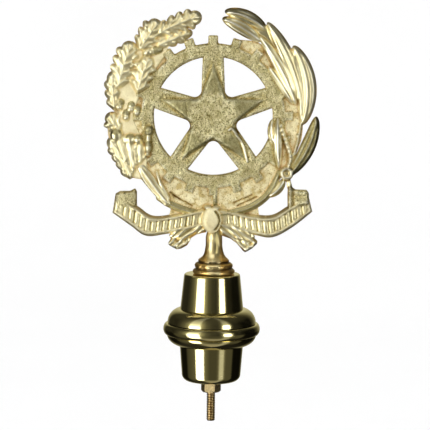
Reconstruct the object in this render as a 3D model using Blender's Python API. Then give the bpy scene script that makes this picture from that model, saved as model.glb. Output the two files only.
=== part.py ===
"""Flagpole finial: a cast brass emblem on a turned brass base, clamped by a threaded rod and a nut.

Metres, +Z up. The origin lies on the rod's axis, in the plane where the base sits on the pole's end.
The emblem faces -Y. Its relief is drawn from the centre of the star: u to the right, v up.
"""
import math

import bmesh
import bpy
from mathutils import Matrix, Vector

MM = 0.001

# Rod and nut
ROD_DIAMETER = 5.0 * MM
ROD_BELOW_SEAT = 23.6 * MM
ROD_IN_CASTING = 9.0 * MM
ROD_END_CHAMFER = 0.5 * MM
NUT_ACROSS_FLATS = 10.0 * MM
NUT_HEIGHT = 6.6 * MM
NUT_CHAMFER = 0.7 * MM
NUT_TURN_DEGREES = -8.0
GAP = 0.3 * MM
NUT_RECESS_DEPTH = 0.3 * MM
NUT_RECESS_MARGIN = 0.8 * MM

# Lower base: drum, bead and ring, from the seat upwards
LOWER_DRUM_HEIGHT = 20.8 * MM
LOWER_DRUM_FOOT_RADIUS = 17.0 * MM
LOWER_DRUM_TOP_RADIUS = 18.1 * MM
LOWER_DRUM_ROUNDING = 4.0 * MM
BEAD_HEIGHT = 6.4 * MM
BEAD_OVERHANG = 7.6 * MM
BEAD_FULLNESS = 1.8
GROOVE_DEPTH = 0.5 * MM
RING_HEIGHT = 6.5 * MM
RING_EDGE_RADIUS = 25.9 * MM
RING_BULGE = 2.0 * MM

# Upper base: domed shoulder and tapered drum
DOME_HEIGHT = 8.1 * MM
DOME_OVERHANG = 7.6 * MM
UPPER_DRUM_HEIGHT = 20.4 * MM
UPPER_DRUM_FOOT_RADIUS = 17.9 * MM
UPPER_DRUM_TOP_RADIUS = 16.2 * MM
UPPER_DRUM_ROUNDING = 1.2 * MM

# Bell collar and stem of the casting
COLLAR_RADIUS = 12.2 * MM
COLLAR_HEIGHT = 11.0 * MM
COLLAR_NECK_RADIUS = 5.2 * MM
STEM_RADIUS = 3.6 * MM
EMBLEM_CENTRE_ABOVE_COLLAR = 90.7 * MM

# Emblem: depths run forwards from the axis plane, so a larger depth is nearer to the viewer
EMBLEM_WIDTH = 124.0 * MM
BACK_DEPTH = -3.0 * MM
WEB_DEPTH = 0.2 * MM
OAK_BED_DEPTH = 1.0 * MM
RING_DEPTH = 2.2 * MM
STAR_DEPTH = 4.0 * MM
SPOKE_EDGE_DEPTH = 1.3 * MM
RIBBON_DEPTH = 4.0 * MM
RIBBON_RIM = 0.8 * MM

# Toothed ring and star
TEETH = 20
RING_INNER_RADIUS = 34.0 * MM
RING_OUTER_RADIUS = 41.5 * MM
TOOTH_HEIGHT = 4.5 * MM
TOOTH_WIDTH = 5.6 * MM
TOOTH_CORNER = 1.0 * MM
WHEEL_TURN_DEGREES = 0.6
WHEEL_OFFSET = 0.3 * MM
STAR_RADIUS = 31.2 * MM
STAR_NOTCH_RADIUS = 12.7 * MM
SPOKE_ROOT_WIDTH = 13.4 * MM
SPOKE_END_WIDTH = 12.0 * MM
SPOKE_FILLET = 4.0 * MM
STAR_ARMS = 5

# Facets
TURNED_SIDES = 40
STEM_SIDES = 24
ROD_SIDES = 16
ARC_STEPS = 5
COPLANAR_DEGREES = 0.5

# The relief's drawing is 124 units wide, so one unit is about a millimetre
UNIT = EMBLEM_WIDTH / 124.0

SEAT_Z = 0.0
BEAD_BOTTOM_Z = SEAT_Z + LOWER_DRUM_HEIGHT
GROOVE_Z = BEAD_BOTTOM_Z + BEAD_HEIGHT
SEAM_Z = GROOVE_Z + RING_HEIGHT
BELL_BOTTOM_Z = SEAM_Z + GAP
DOME_TOP_Z = BELL_BOTTOM_Z + DOME_HEIGHT
BELL_TOP_Z = DOME_TOP_Z + UPPER_DRUM_HEIGHT
COLLAR_Z = BELL_TOP_Z + GAP
COLLAR_TOP_Z = COLLAR_Z + COLLAR_HEIGHT
EMBLEM_Z = COLLAR_Z + EMBLEM_CENTRE_ABOVE_COLLAR
BORE_RADIUS = ROD_DIAMETER / 2 + GAP
NUT_CORNER_RADIUS = NUT_ACROSS_FLATS / 2 / math.cos(math.pi / 6)
RECESS_Z = SEAT_Z + NUT_RECESS_DEPTH
TOOTH_TIP_RADIUS = RING_OUTER_RADIUS + TOOTH_HEIGHT

# Web behind the wreath: (angle in degrees, radius in units), anticlockwise from the upper left
WEB_OUTLINE = [(127, 46), (136, 50), (150, 55), (170, 57), (187, 57), (205, 57), (220, 55), (234, 56),
               (245, 57), (258, 54), (282, 54), (295, 57), (310, 54), (325, 51), (345, 52), (370, 50),
               (400, 49), (420, 49), (431, 46)]
WEB_LOWER_EDGE = [(-23.5, -50), (-25.5, -60), (27, -60), (25.5, -49)]

# Bed of the oak spray, which rises a little above the web: (angle in degrees, inner and outer radius in units)
OAK_BED = [(104, 57, 61.0), (110, 51, 60.5), (117, 49, 59.5), (124, 47, 61.0), (131, 44, 60.5), (138, 43, 60.0),
           (145, 43, 61.5), (152, 43, 61.5), (159, 43, 61.0), (166, 44, 60.5), (173, 45, 57.5), (179, 46, 54.5),
           (184, 46, 61.0), (191, 44, 61.5), (198, 43, 61.0), (205, 44, 60.0), (212, 45, 60.0), (218, 48, 58.5),
           (222, 50, 55.0)]

# Olive leaves: base, tip, width, bow to the left of base-to-tip, edge depth, crest depth
OLIVE_LEAVES = [
    ((29.5, 49.5), (5.6, 59.8), 7.6, -2.2, 1.6, 4.0),
    ((26.5, 43.0), (4.3, 55.8), 8.0, -1.2, 2.4, 5.0),
    ((50.3, 7.0), (30.0, 53.8), 8.4, -3.0, 1.8, 4.6),
    ((46.8, 7.0), (25.6, 46.0), 6.6, -2.0, 2.6, 5.2),
    ((45.0, 7.5), (30.8, 28.8), 4.8, -0.6, 1.6, 4.2),
    ((50.6, -4.5), (45.0, 40.6), 11.4, -5.0, 1.6, 4.4),
    ((43.2, -33.8), (58.9, 0.2), 8.6, -3.0, 1.2, 4.0),
    ((37.6, -29.5), (36.6, -0.6), 5.2, 0.4, 2.6, 5.2),
    ((37.5, -19.0), (33.6, -1.8), 4.6, 2.2, 1.8, 4.0),
    ((40.8, -35.4), (31.6, -45.8), 4.8, 1.6, 1.0, 3.6),
]

# Oak leaves: base, tip, width, bow, depth of the lobes' edges, crest depth
OAK_LEAVES = [
    ((-33.0, 46.4), (-7.4, 57.2), 12.6, 0.8, 1.6, 4.8),
    ((-34.0, 39.6), (-12.6, 48.0), 8.6, 0.0, 1.4, 4.2),
    ((-43.2, 36.0), (-31.0, 54.0), 15.0, 0.6, 1.8, 4.8),
    ((-55.2, 14.0), (-46.6, 42.0), 15.0, 0.8, 1.8, 4.8),
    ((-43.6, 11.8), (-36.6, 34.4), 13.6, 0.8, 2.4, 5.4),
    ((-56.4, 2.0), (-58.2, 25.0), 10.0, 0.4, 1.6, 4.4),
    ((-52.0, -11.0), (-60.0, 1.4), 12.0, 0.6, 1.4, 4.2),
    ((-46.4, -37.4), (-60.0, -13.0), 11.0, -1.2, 1.6, 4.4),
    ((-49.4, -28.0), (-55.4, -7.4), 10.0, 0.0, 2.0, 5.0),
    ((-45.4, -32.0), (-48.4, -11.4), 9.6, 0.0, 1.8, 4.8),
    ((-42.0, -29.0), (-42.0, -11.6), 8.4, 0.0, 1.8, 4.4),
]
LOBE_PITCH = 5.6
LOBE_LEAN = 0.8
LOBE_SINUS = 0.68

# Acorns and other smooth swellings: base, tip, width, bow, edge depth, crest depth
SWELLINGS = [
    ((-41.2, 35.2), (-29.2, 38.4), 5.2, 0.0, 1.6, 4.6),
    ((-54.6, 2.8), (-52.6, 9.6), 4.8, 0.0, 1.4, 4.4),
    ((-47.8, 1.8), (-46.8, 8.2), 4.6, 0.0, 1.4, 4.0),
    ((-50.2, -3.4), (-49.8, 3.6), 4.6, 0.0, 1.4, 4.4),
    ((-44.4, -0.4), (-43.2, 5.6), 4.2, 0.0, 1.4, 3.8),
    ((-37.4, -11.4), (-36.8, -5.8), 5.0, 0.0, 2.6, 5.0),
    ((42.2, -35.0), (42.2, -29.0), 6.0, 0.0, 1.4, 4.4),
    ((50.4, -1.6), (50.8, 1.2), 2.6, 0.0, 1.6, 3.8),
    ((48.0, -12.0), (48.4, -9.2), 2.6, 0.0, 1.6, 3.8),
]

# Stems: points along the middle, half widths at those points, edge depth, crest depth
STEMS = [
    ([(-30.8, -47.2), (-23.4, -51.5), (-13.0, -55.1), (-2.0, -57.0)], [1.5, 1.6, 1.6, 1.6], 0.6, 2.8),
    ([(37.8, -31.5), (34.6, -40.0), (29.4, -47.0), (21.3, -52.4), (11.0, -55.6), (2.0, -57.0)],
     [1.3, 1.7, 1.8, 1.8, 1.7, 1.6], 0.6, 2.8),
    ([(-26.5, -49.8), (-32.2, -42.8), (-37.6, -35.5), (-41.0, -30.5)], [2.2, 2.9, 3.3, 2.4], 1.0, 3.8),
    ([(-25.2, -47.4), (-28.4, -42.0), (-31.0, -37.0), (-32.4, -32.4)], [0.8, 0.9, 1.0, 0.8], 0.8, 2.6),
    ([(-37.6, -22.0), (-37.6, -16.0), (-37.1, -10.5)], [1.0, 1.1, 1.3], 2.2, 4.0),
    ([(43.0, -31.0), (45.6, -23.0), (48.8, -11.0), (50.4, 0.5)], [1.1, 1.0, 0.9, 0.7], 0.8, 3.0),
    ([(42.6, -30.0), (44.2, -23.0), (41.6, -14.5), (38.4, -4.5)], [1.2, 1.4, 1.3, 1.0], 1.8, 4.0),
    ([(42.4, -34.5), (43.4, -37.6), (44.2, -41.0)], [1.6, 1.3, 1.5], 0.4, 2.0),
    ([(0.2, -43.5), (0.6, -52.5)], [1.3, 1.3], 0.8, 2.8),
    ([(-2.0, -61.0), (-9.5, -66.2), (-16.0, -70.6), (-22.4, -74.2)], [2.6, 2.4, 3.0, 4.2], 0.6, 3.6),
    ([(2.0, -61.0), (9.5, -66.2), (16.0, -70.6), (22.2, -75.0)], [2.6, 2.6, 3.2, 4.4], 0.6, 3.6),
]

# Ribbon: (top edge, bottom edge, set-back of the face) from the left end to the right end
RIBBON_STATIONS = [
    ((-56.1, -46.2), (-57.6, -56.2), 1.6),
    ((-43.6, -52.4), (-47.4, -63.2), 0.6),
    ((-34.6, -58.0), (-38.2, -69.2), 0.0),
    ((-21.6, -56.8), (-25.8, -67.9), 0.3),
    ((-3.6, -52.8), (-4.6, -64.2), 0.8),
    ((4.6, -53.0), (6.4, -64.0), 0.8),
    ((21.3, -56.2), (24.6, -68.2), 0.3),
    ((33.8, -56.9), (35.0, -69.1), 0.0),
    ((43.6, -51.4), (46.2, -63.2), 0.6),
    ((54.9, -45.4), (57.2, -54.4), 1.6),
]
RIBBON_RIM_SHARE = 0.12
FOLD_LEFT = [(-56.0, -45.4), (-55.6, -51.0), (-43.6, -56.0), (-43.7, -44.0), (-44.8, -42.3), (-47.6, -43.8),
             (-53.2, -43.9)]
FOLD_RIGHT = [(42.8, -43.4), (43.0, -54.0), (55.2, -50.0), (55.0, -43.8), (53.8, -42.2), (47.4, -42.0),
              (45.0, -40.4), (43.4, -38.6)]
FOLD_DEPTH = 2.4
KNOT = ((1.1, -66.2), (1.2, -51.3), 9.4, 0.0, 3.8, 7.0)


def clear_scene():
    for item in list(bpy.data.objects):
        bpy.data.objects.remove(item, do_unlink=True)


def brass(name, colour, roughness):
    material = bpy.data.materials.new(name)
    material.use_nodes = True
    shader = material.node_tree.nodes["Principled BSDF"]
    shader.inputs["Base Color"].default_value = (*colour, 1.0)
    shader.inputs["Metallic"].default_value = 1.0
    shader.inputs["Roughness"].default_value = roughness
    material.diffuse_color = (*colour, 1.0)
    return material


def finish_object(name, bm, material):
    bmesh.ops.recalc_face_normals(bm, faces=bm.faces)
    mesh = bpy.data.meshes.new(name)
    bm.to_mesh(mesh)
    bm.free()
    mesh.materials.append(material)
    item = bpy.data.objects.new(name, mesh)
    bpy.context.collection.objects.link(item)
    return item


def arc(centre_r, centre_z, radius_r, radius_z, start, end, steps=ARC_STEPS, fullness=2.0):
    """Points (r, z) along an elliptical arc, angles in degrees, fuller where fullness is over 2."""
    points = []
    for i in range(steps + 1):
        angle = math.radians(start + (end - start) * i / steps)
        c, s = math.cos(angle), math.sin(angle)
        points.append((centre_r + radius_r * math.copysign(abs(c) ** (2 / fullness), c),
                       centre_z + radius_z * math.copysign(abs(s) ** (2 / fullness), s)))
    return points


def lathe(bm, profile, sides):
    """Turn a closed profile of (r, z) points about Z into a closed body."""
    ring = [bm.verts.new((r, 0.0, z)) for r, z in profile]
    edges = [bm.edges.new((ring[i], ring[(i + 1) % len(ring)])) for i in range(len(ring))
             if profile[i][0] > 0 or profile[(i + 1) % len(ring)][0] > 0]
    bmesh.ops.spin(bm, geom=ring + edges, axis=(0, 0, 1), cent=(0, 0, 0),
                   steps=sides, angle=2 * math.pi, use_merge=True)
    bmesh.ops.remove_doubles(bm, verts=bm.verts, dist=1e-6)


def relief_point(u, v, depth):
    return Vector((u * UNIT, -depth, EMBLEM_Z + v * UNIT))


def add_relief(bm, rows, back_depth):
    """Close a grid of front points with side walls and a flat back. Each row runs across the form."""
    front = [[bm.verts.new(p) for p in row] for row in rows]
    back = [[bm.verts.new((row[j].x, -back_depth, row[j].z)) for j in (0, -1)] for row in rows]
    for i in range(len(rows) - 1):
        for j in range(len(rows[0]) - 1):
            bm.faces.new((front[i][j], front[i][j + 1], front[i + 1][j + 1], front[i + 1][j]))
        bm.faces.new((front[i][0], front[i + 1][0], back[i + 1][0], back[i][0]))
        bm.faces.new((front[i + 1][-1], front[i][-1], back[i][1], back[i + 1][1]))
        bm.faces.new((back[i][0], back[i + 1][0], back[i + 1][1], back[i][1]))
    for i in (0, -1):
        bm.faces.new(front[i] + [back[i][1], back[i][0]])


def add_slab(bm, outline, front_depth, back_depth):
    """A flat plate from an outline of (x, z) points in metres about the star's centre."""
    front = [bm.verts.new((x, -front_depth, EMBLEM_Z + z)) for x, z in outline]
    back = [bm.verts.new((x, -back_depth, EMBLEM_Z + z)) for x, z in outline]
    bm.faces.new(front)
    bm.faces.new(list(reversed(back)))
    for i in range(len(outline)):
        k = (i + 1) % len(outline)
        bm.faces.new((front[i], back[i], back[k], front[k]))


def in_metres(points):
    return [(u * UNIT, v * UNIT) for u, v in points]


def curve_point(base, tip, bow, t):
    """A point and the left-hand normal on the bowed line from base to tip, in units."""
    along = Vector((tip[0] - base[0], tip[1] - base[1]))
    left = Vector((-along.y, along.x)).normalized()
    point = Vector(base) + along * t + left * (4 * bow * t * (1 - t))
    direction = (along + left * (4 * bow * (1 - 2 * t))).normalized()
    return point, Vector((-direction.y, direction.x))


class BackStagger:
    """Gives each form its own depth behind the back plane, so that no two backs coincide."""

    def __init__(self):
        self.count = 0

    def next(self):
        self.count += 1
        return BACK_DEPTH - 0.2 * MM - 0.01 * MM * self.count


def add_petal(bm, form, stagger, stations=5, blunt=0.2, section=(-1, -0.5, 0, 0.5, 1)):
    """A leaf, lobe or swelling: bowed middle line, rounded width and a crest along the middle."""
    base, tip, width, bow, edge, crest = form
    rows = []
    for i in range(stations + 1):
        t = i / stations
        swell = math.sin(math.pi * t) ** 0.6
        half = width / 2 * (blunt + (1 - blunt) * swell)
        point, left = curve_point(base, tip, bow, t)
        height = crest - edge
        row = []
        for s in section:
            rise = height * (1 - abs(s) ** 1.6) * (0.35 + 0.65 * swell)
            row.append(relief_point(point.x + left.x * half * s, point.y + left.y * half * s,
                                    (edge + rise) * UNIT))
        rows.append(row)
    add_relief(bm, rows, stagger.next())


def add_oak_leaf(bm, leaf, stagger):
    """A lobed leaf in one sheet: a raised midrib, and pairs of ridged lobes that lean towards the tip."""
    base, tip, width, bow, edge, crest = leaf
    spaces = round((Vector(tip) - Vector(base)).length / LOBE_PITCH)
    pairs = spaces - 1
    stations = [(0.0, 0.3, 0.3)]
    for i in range(pairs):
        fullness = 0.8 + 0.2 * math.sin(math.pi * (i + 0.5) / spaces)
        stations += [((i + 0.25) / spaces, 0.92 * fullness, 0.8), ((i + 0.62) / spaces, fullness, 0.9),
                     ((i + 0.98) / spaces, LOBE_SINUS * fullness, 0.3)]
    stations += [((pairs + 0.45) / spaces, 0.58, 0.8), (1.0, 0.2, 0.3)]
    rows = []
    for t, reach, ridge in stations:
        point, left = curve_point(base, tip, bow, t)
        forward = Vector((left.y, -left.x))
        half = width / 2 * reach
        row = []
        for s in (-1, -0.55, 0, 0.55, 1):
            place = point + left * half * s + forward * half * abs(s) * LOBE_LEAN * (1 - t)
            rise = {0: 1.0, 1: 0.0}.get(abs(s), ridge)
            row.append(relief_point(place.x, place.y, (edge + (crest - edge) * rise) * UNIT))
        rows.append(row)
    add_relief(bm, rows, stagger.next())


def add_stem(bm, stem, stagger):
    points, halves, edge, crest = stem
    rows = []
    for i, (u, v) in enumerate(points):
        before = Vector(points[max(i - 1, 0)])
        after = Vector(points[min(i + 1, len(points) - 1)])
        direction = (after - before).normalized()
        left = Vector((-direction.y, direction.x))
        row = []
        for s in (-1, -0.45, 0.45, 1):
            depth = crest if abs(s) < 1 else edge
            row.append(relief_point(u + left.x * halves[i] * s, v + left.y * halves[i] * s, depth * UNIT))
        rows.append(row)
    add_relief(bm, rows, stagger.next())


def add_toothed_ring(bm, stagger):
    """Flat ring with teeth: columns of points at equal angles on the inner and the outer edge."""
    columns = []
    pitch = 2 * math.pi / TEETH
    half = TOOTH_WIDTH / 2
    for k in range(TEETH):
        middle = math.pi / 2 + k * pitch
        gap_middle = RING_OUTER_RADIUS * Vector((math.cos(pitch / 2), -math.sin(pitch / 2)))
        root = math.sqrt(RING_OUTER_RADIUS ** 2 - half ** 2)
        tooth = [gap_middle, Vector((root, -half)), Vector((TOOTH_TIP_RADIUS - TOOTH_CORNER, -half)),
                 Vector((TOOTH_TIP_RADIUS, TOOTH_CORNER - half)), Vector((TOOTH_TIP_RADIUS, half - TOOTH_CORNER)),
                 Vector((TOOTH_TIP_RADIUS - TOOTH_CORNER, half)), Vector((root, half))]
        for p in tooth:
            c, s = math.cos(middle), math.sin(middle)
            columns.append(Vector((p.x * c - p.y * s, p.x * s + p.y * c)))
    back_depth = stagger.next()
    loops = []
    for depth in (RING_DEPTH, back_depth):
        outer = [bm.verts.new((p.x, -depth, EMBLEM_Z + p.y)) for p in columns]
        inner_points = [p.normalized() * RING_INNER_RADIUS for p in columns]
        inner = [bm.verts.new((p.x, -depth, EMBLEM_Z + p.y)) for p in inner_points]
        loops.append((inner, outer))
    (front_in, front_out), (back_in, back_out) = loops
    for i in range(len(columns)):
        k = (i + 1) % len(columns)
        bm.faces.new((front_in[i], front_in[k], front_out[k], front_out[i]))
        bm.faces.new((back_in[i], back_out[i], back_out[k], back_in[k]))
        bm.faces.new((front_out[i], front_out[k], back_out[k], back_out[i]))
        bm.faces.new((front_in[i], back_in[i], back_in[k], front_in[k]))


def add_star(bm, stagger):
    """Raised five-pointed star on five spokes, with facets from its edges down to theirs."""
    root_half, end_half = SPOKE_ROOT_WIDTH / 2, SPOKE_END_WIDTH / 2
    step = 2 * math.pi / STAR_ARMS
    fillet_centre = (root_half + SPOKE_FILLET) / math.sin(step / 2)
    shoulder = RING_INNER_RADIUS - 0.5 * MM
    spoke_end = (RING_INNER_RADIUS + RING_OUTER_RADIUS) / 2 - 0.5 * MM
    sunk = RING_DEPTH - 0.15 * MM
    back_depth = stagger.next()

    def vert(place, depth):
        return bm.verts.new((place.x, -depth, EMBLEM_Z + place.y))

    tips, notches, rims = [], [], []
    for k in range(STAR_ARMS):
        a = math.pi / 2 + k * step
        e = Vector((math.cos(a), math.sin(a)))
        n = Vector((-e.y, e.x))
        notch = Vector((math.cos(a + step / 2), math.sin(a + step / 2)))
        tips.append(vert(e * STAR_RADIUS, STAR_DEPTH))
        notches.append(vert(notch * STAR_NOTCH_RADIUS, STAR_DEPTH))
        rim = [vert(e * shoulder - n * end_half, sunk), vert(e * spoke_end - n * end_half, sunk),
               vert(e * spoke_end + n * end_half, sunk), vert(e * shoulder + n * end_half, sunk)]
        sweep = math.pi - step
        for i in range(ARC_STEPS):
            b = a - math.pi / 2 - sweep * i / (ARC_STEPS - 1)
            corner = Vector((math.cos(b), math.sin(b))) * SPOKE_FILLET
            rim.append(vert(notch * fillet_centre + corner, SPOKE_EDGE_DEPTH))
        rims.append(rim)
    bm.faces.new(notches)
    for k in range(STAR_ARMS):
        rim, following = rims[k], rims[(k + 1) % STAR_ARMS]
        next_tip = tips[(k + 1) % STAR_ARMS]
        bm.faces.new((notches[k - 1], tips[k], notches[k]))
        bm.faces.new(rim[:4])
        bm.faces.new((tips[k], rim[0], rim[3]))
        bm.faces.new((tips[k], rim[3], rim[4]))
        bm.faces.new((tips[k], rim[4], notches[k]))
        for i in range(4, len(rim) - 1):
            bm.faces.new((notches[k], rim[i], rim[i + 1]))
        bm.faces.new((notches[k], rim[-1], next_tip))
        bm.faces.new((next_tip, rim[-1], following[0]))
    outline = [v for rim in rims for v in rim]
    back = [bm.verts.new((v.co.x, -back_depth, v.co.z)) for v in outline]
    bm.faces.new(list(reversed(back)))
    for i in range(len(outline)):
        k = (i + 1) % len(outline)
        bm.faces.new((outline[i], back[i], back[k], outline[k]))


def add_web(bm, stagger):
    """Recessed plate between the ring and the wreath, its lower edge, and the bed of the oak spray."""
    inner = (RING_INNER_RADIUS + RING_OUTER_RADIUS) / 2 + 1.0 * MM
    rows = []
    for degrees, radius in WEB_OUTLINE:
        a = math.radians(degrees)
        c, s = math.cos(a), math.sin(a)
        rows.append([Vector((c * inner, -WEB_DEPTH, EMBLEM_Z + s * inner)),
                     Vector((c * radius * UNIT, -WEB_DEPTH, EMBLEM_Z + s * radius * UNIT))])
    add_relief(bm, rows, stagger.next())
    add_slab(bm, in_metres(WEB_LOWER_EDGE), WEB_DEPTH - 0.05 * MM, stagger.next())
    rows = []
    for degrees, inside, outside in OAK_BED:
        c, s = math.cos(math.radians(degrees)), math.sin(math.radians(degrees))
        rows.append([relief_point(c * radius, s * radius, OAK_BED_DEPTH + rise)
                     for radius, rise in ((inside, 0.0), (outside - 1.5, 0.0), (outside, -0.6 * MM))])
    add_relief(bm, rows, stagger.next())


def add_ribbon(bm, stagger):
    """Bent band with a raised rim along both edges, its two folded ends and the knot."""
    rim = RIBBON_RIM_SHARE
    section = ((0.0, -0.6 * MM), (rim / 2, RIBBON_RIM), (rim, 0.0), (1 - rim, 0.0), (1 - rim / 2, RIBBON_RIM),
               (1.0, -0.6 * MM))
    rows = []
    for top, bottom, set_back in RIBBON_STATIONS:
        row = []
        for share, rise in section:
            u = top[0] + (bottom[0] - top[0]) * share
            v = top[1] + (bottom[1] - top[1]) * share
            row.append(relief_point(u, v, RIBBON_DEPTH + rise - set_back * UNIT))
        rows.append(row)
    add_relief(bm, rows, stagger.next())
    for fold in (FOLD_LEFT, FOLD_RIGHT):
        add_slab(bm, in_metres(fold), FOLD_DEPTH * UNIT, stagger.next())
    add_petal(bm, KNOT, stagger, stations=6, blunt=0.45)


def emblem_relief():
    bm = bmesh.new()
    stagger = BackStagger()
    add_toothed_ring(bm, stagger)
    add_star(bm, stagger)
    turn = Matrix.Rotation(-math.radians(WHEEL_TURN_DEGREES), 3, "Y")
    bmesh.ops.rotate(bm, cent=(0, 0, EMBLEM_Z), matrix=turn, verts=bm.verts)
    bmesh.ops.translate(bm, vec=(-WHEEL_OFFSET, 0, 0), verts=bm.verts)
    add_web(bm, stagger)
    for leaf in OLIVE_LEAVES:
        add_petal(bm, leaf, stagger)
    for leaf in OAK_LEAVES:
        add_oak_leaf(bm, leaf, stagger)
    for form in SWELLINGS:
        add_petal(bm, form, stagger, stations=4, blunt=0.5, section=(-1, 0, 1))
    for stem in STEMS:
        add_stem(bm, stem, stagger)
    add_ribbon(bm, stagger)
    return bm


def collar_and_stem():
    """Stem and bell collar with the blind hole for the rod."""
    hole_top = COLLAR_Z + ROD_IN_CASTING + GAP
    stem_top = EMBLEM_Z - 50.0 * UNIT
    bell_middle = COLLAR_Z + COLLAR_HEIGHT * 0.5
    profile = [(0.0, hole_top), (BORE_RADIUS, hole_top), (BORE_RADIUS, COLLAR_Z),
               (COLLAR_RADIUS * 0.94, COLLAR_Z), (COLLAR_RADIUS, COLLAR_Z + COLLAR_HEIGHT * 0.08),
               (COLLAR_RADIUS * 0.97, COLLAR_Z + COLLAR_HEIGHT * 0.2),
               (COLLAR_RADIUS * 0.86, COLLAR_Z + COLLAR_HEIGHT * 0.28),
               (COLLAR_RADIUS * 0.9, COLLAR_Z + COLLAR_HEIGHT * 0.38),
               (COLLAR_RADIUS * 0.82, bell_middle + COLLAR_HEIGHT * 0.1),
               (COLLAR_RADIUS * 0.62, bell_middle + COLLAR_HEIGHT * 0.32),
               (COLLAR_NECK_RADIUS, COLLAR_TOP_Z),
               (STEM_RADIUS * 1.15, COLLAR_TOP_Z + COLLAR_HEIGHT * 0.4),
               (STEM_RADIUS, COLLAR_TOP_Z + COLLAR_HEIGHT * 0.9),
               (STEM_RADIUS, stem_top - STEM_RADIUS), (STEM_RADIUS * 0.7, stem_top - STEM_RADIUS * 0.3),
               (0.0, stem_top)]
    bm = bmesh.new()
    lathe(bm, profile, STEM_SIDES)
    return bm


def add_boolean(target, operation, tool):
    modifier = target.modifiers.new(operation.lower(), "BOOLEAN")
    modifier.operation = operation
    modifier.solver = "EXACT"
    modifier.use_self = True
    modifier.object = tool
    tool.hide_render = True
    tool.display_type = "WIRE"


def emblem_casting(material):
    """The casting: all relief forms grown together, the back planed flat, then collar and stem."""
    casting = finish_object("emblem_casting", emblem_relief(), material)
    bm = bmesh.new()
    bmesh.ops.create_cube(bm, size=1.0)
    plane_thickness = 20 * MM
    bmesh.ops.scale(bm, vec=(3 * EMBLEM_WIDTH, plane_thickness, 3 * EMBLEM_WIDTH), verts=bm.verts)
    bmesh.ops.translate(bm, vec=(0, -BACK_DEPTH + plane_thickness / 2, EMBLEM_Z), verts=bm.verts)
    planer = finish_object("back_planer", bm, material)
    collar = finish_object("collar_core", collar_and_stem(), material)
    add_boolean(casting, "DIFFERENCE", planer)
    add_boolean(casting, "UNION", collar)
    flat = casting.modifiers.new("join_coplanar_faces", "DECIMATE")
    flat.decimate_type = "DISSOLVE"
    flat.angle_limit = math.radians(COPLANAR_DEGREES)
    return casting


def upper_base_bell(material):
    top = UPPER_DRUM_TOP_RADIUS
    rounding = UPPER_DRUM_ROUNDING
    profile = [(BORE_RADIUS, BELL_BOTTOM_Z), (BORE_RADIUS, BELL_TOP_Z)]
    profile += arc(top - rounding, BELL_TOP_Z - rounding, rounding, rounding, 90, 0, steps=2)
    dome_root = UPPER_DRUM_FOOT_RADIUS
    profile += arc(dome_root, BELL_BOTTOM_Z, DOME_OVERHANG, DOME_HEIGHT, 88, 0, steps=6)
    bm = bmesh.new()
    lathe(bm, profile, TURNED_SIDES)
    return finish_object("upper_base_bell", bm, material)


def lower_base_cup(material):
    """Ring, bead and drum in one; the nut sits in a shallow recess in its underside."""
    ring_half = RING_HEIGHT / 2
    recess_radius = NUT_CORNER_RADIUS + NUT_RECESS_MARGIN
    profile = [(BORE_RADIUS, RECESS_Z), (BORE_RADIUS, SEAM_Z)]
    profile += arc(RING_EDGE_RADIUS, GROOVE_Z + ring_half, RING_BULGE, ring_half, 90, -90, steps=6)
    profile.append((RING_EDGE_RADIUS - GROOVE_DEPTH, GROOVE_Z - 0.2 * MM))
    profile += arc(LOWER_DRUM_TOP_RADIUS, GROOVE_Z - 0.4 * MM, BEAD_OVERHANG, BEAD_HEIGHT - 0.4 * MM,
                   0, -88, steps=5, fullness=BEAD_FULLNESS)
    r = LOWER_DRUM_ROUNDING
    profile += arc(LOWER_DRUM_FOOT_RADIUS - r, SEAT_Z + r, r, r, 0, -90, steps=3)
    profile += [(recess_radius, SEAT_Z), (recess_radius, RECESS_Z)]
    bm = bmesh.new()
    lathe(bm, profile, TURNED_SIDES)
    return finish_object("lower_base_cup", bm, material)


def hex_nut(material):
    """Six-sided nut with chamfered corners, standing on its six flats' corners."""
    top = RECESS_Z - GAP
    bottom = top - NUT_HEIGHT
    corner, face = NUT_CORNER_RADIUS, NUT_ACROSS_FLATS / 2
    levels = [(face, top), (corner, top - NUT_CHAMFER), (corner, bottom + NUT_CHAMFER), (face, bottom)]
    sides = 6
    bm = bmesh.new()
    rings = []
    for radius, z in levels:
        rings.append([bm.verts.new((radius * math.cos(math.tau * k / sides), radius * math.sin(math.tau * k / sides), z))
                      for k in range(sides)])
    bores = []
    bore_sides = sides * 3
    for z in (top, bottom):
        bores.append([bm.verts.new((BORE_RADIUS * math.cos(math.tau * k / bore_sides),
                                    BORE_RADIUS * math.sin(math.tau * k / bore_sides), z))
                      for k in range(bore_sides)])
    for upper, lower in zip(rings, rings[1:]):
        for k in range(sides):
            m = (k + 1) % sides
            bm.faces.new((upper[k], lower[k], lower[m], upper[m]))
    for k in range(bore_sides):
        m = (k + 1) % bore_sides
        bm.faces.new((bores[0][k], bores[0][m], bores[1][m], bores[1][k]))
    for ring, bore in ((rings[0], bores[0]), (rings[-1], bores[1])):
        for k in range(sides):
            m = (k + 1) % sides
            inner = [bore[(3 * k + j) % bore_sides] for j in range(4)]
            bm.faces.new([ring[k], ring[m]] + list(reversed(inner)))
    nut = finish_object("hex_nut", bm, material)
    nut.rotation_euler[2] = math.radians(NUT_TURN_DEGREES)
    return nut


def threaded_rod(material):
    radius = ROD_DIAMETER / 2
    top = COLLAR_Z + ROD_IN_CASTING
    bottom = SEAT_Z - ROD_BELOW_SEAT
    c = ROD_END_CHAMFER
    profile = [(0.0, top), (radius - c, top), (radius, top - c), (radius, bottom + c), (radius - c, bottom),
               (0.0, bottom)]
    bm = bmesh.new()
    lathe(bm, profile, ROD_SIDES)
    return finish_object("threaded_rod", bm, material)


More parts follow.
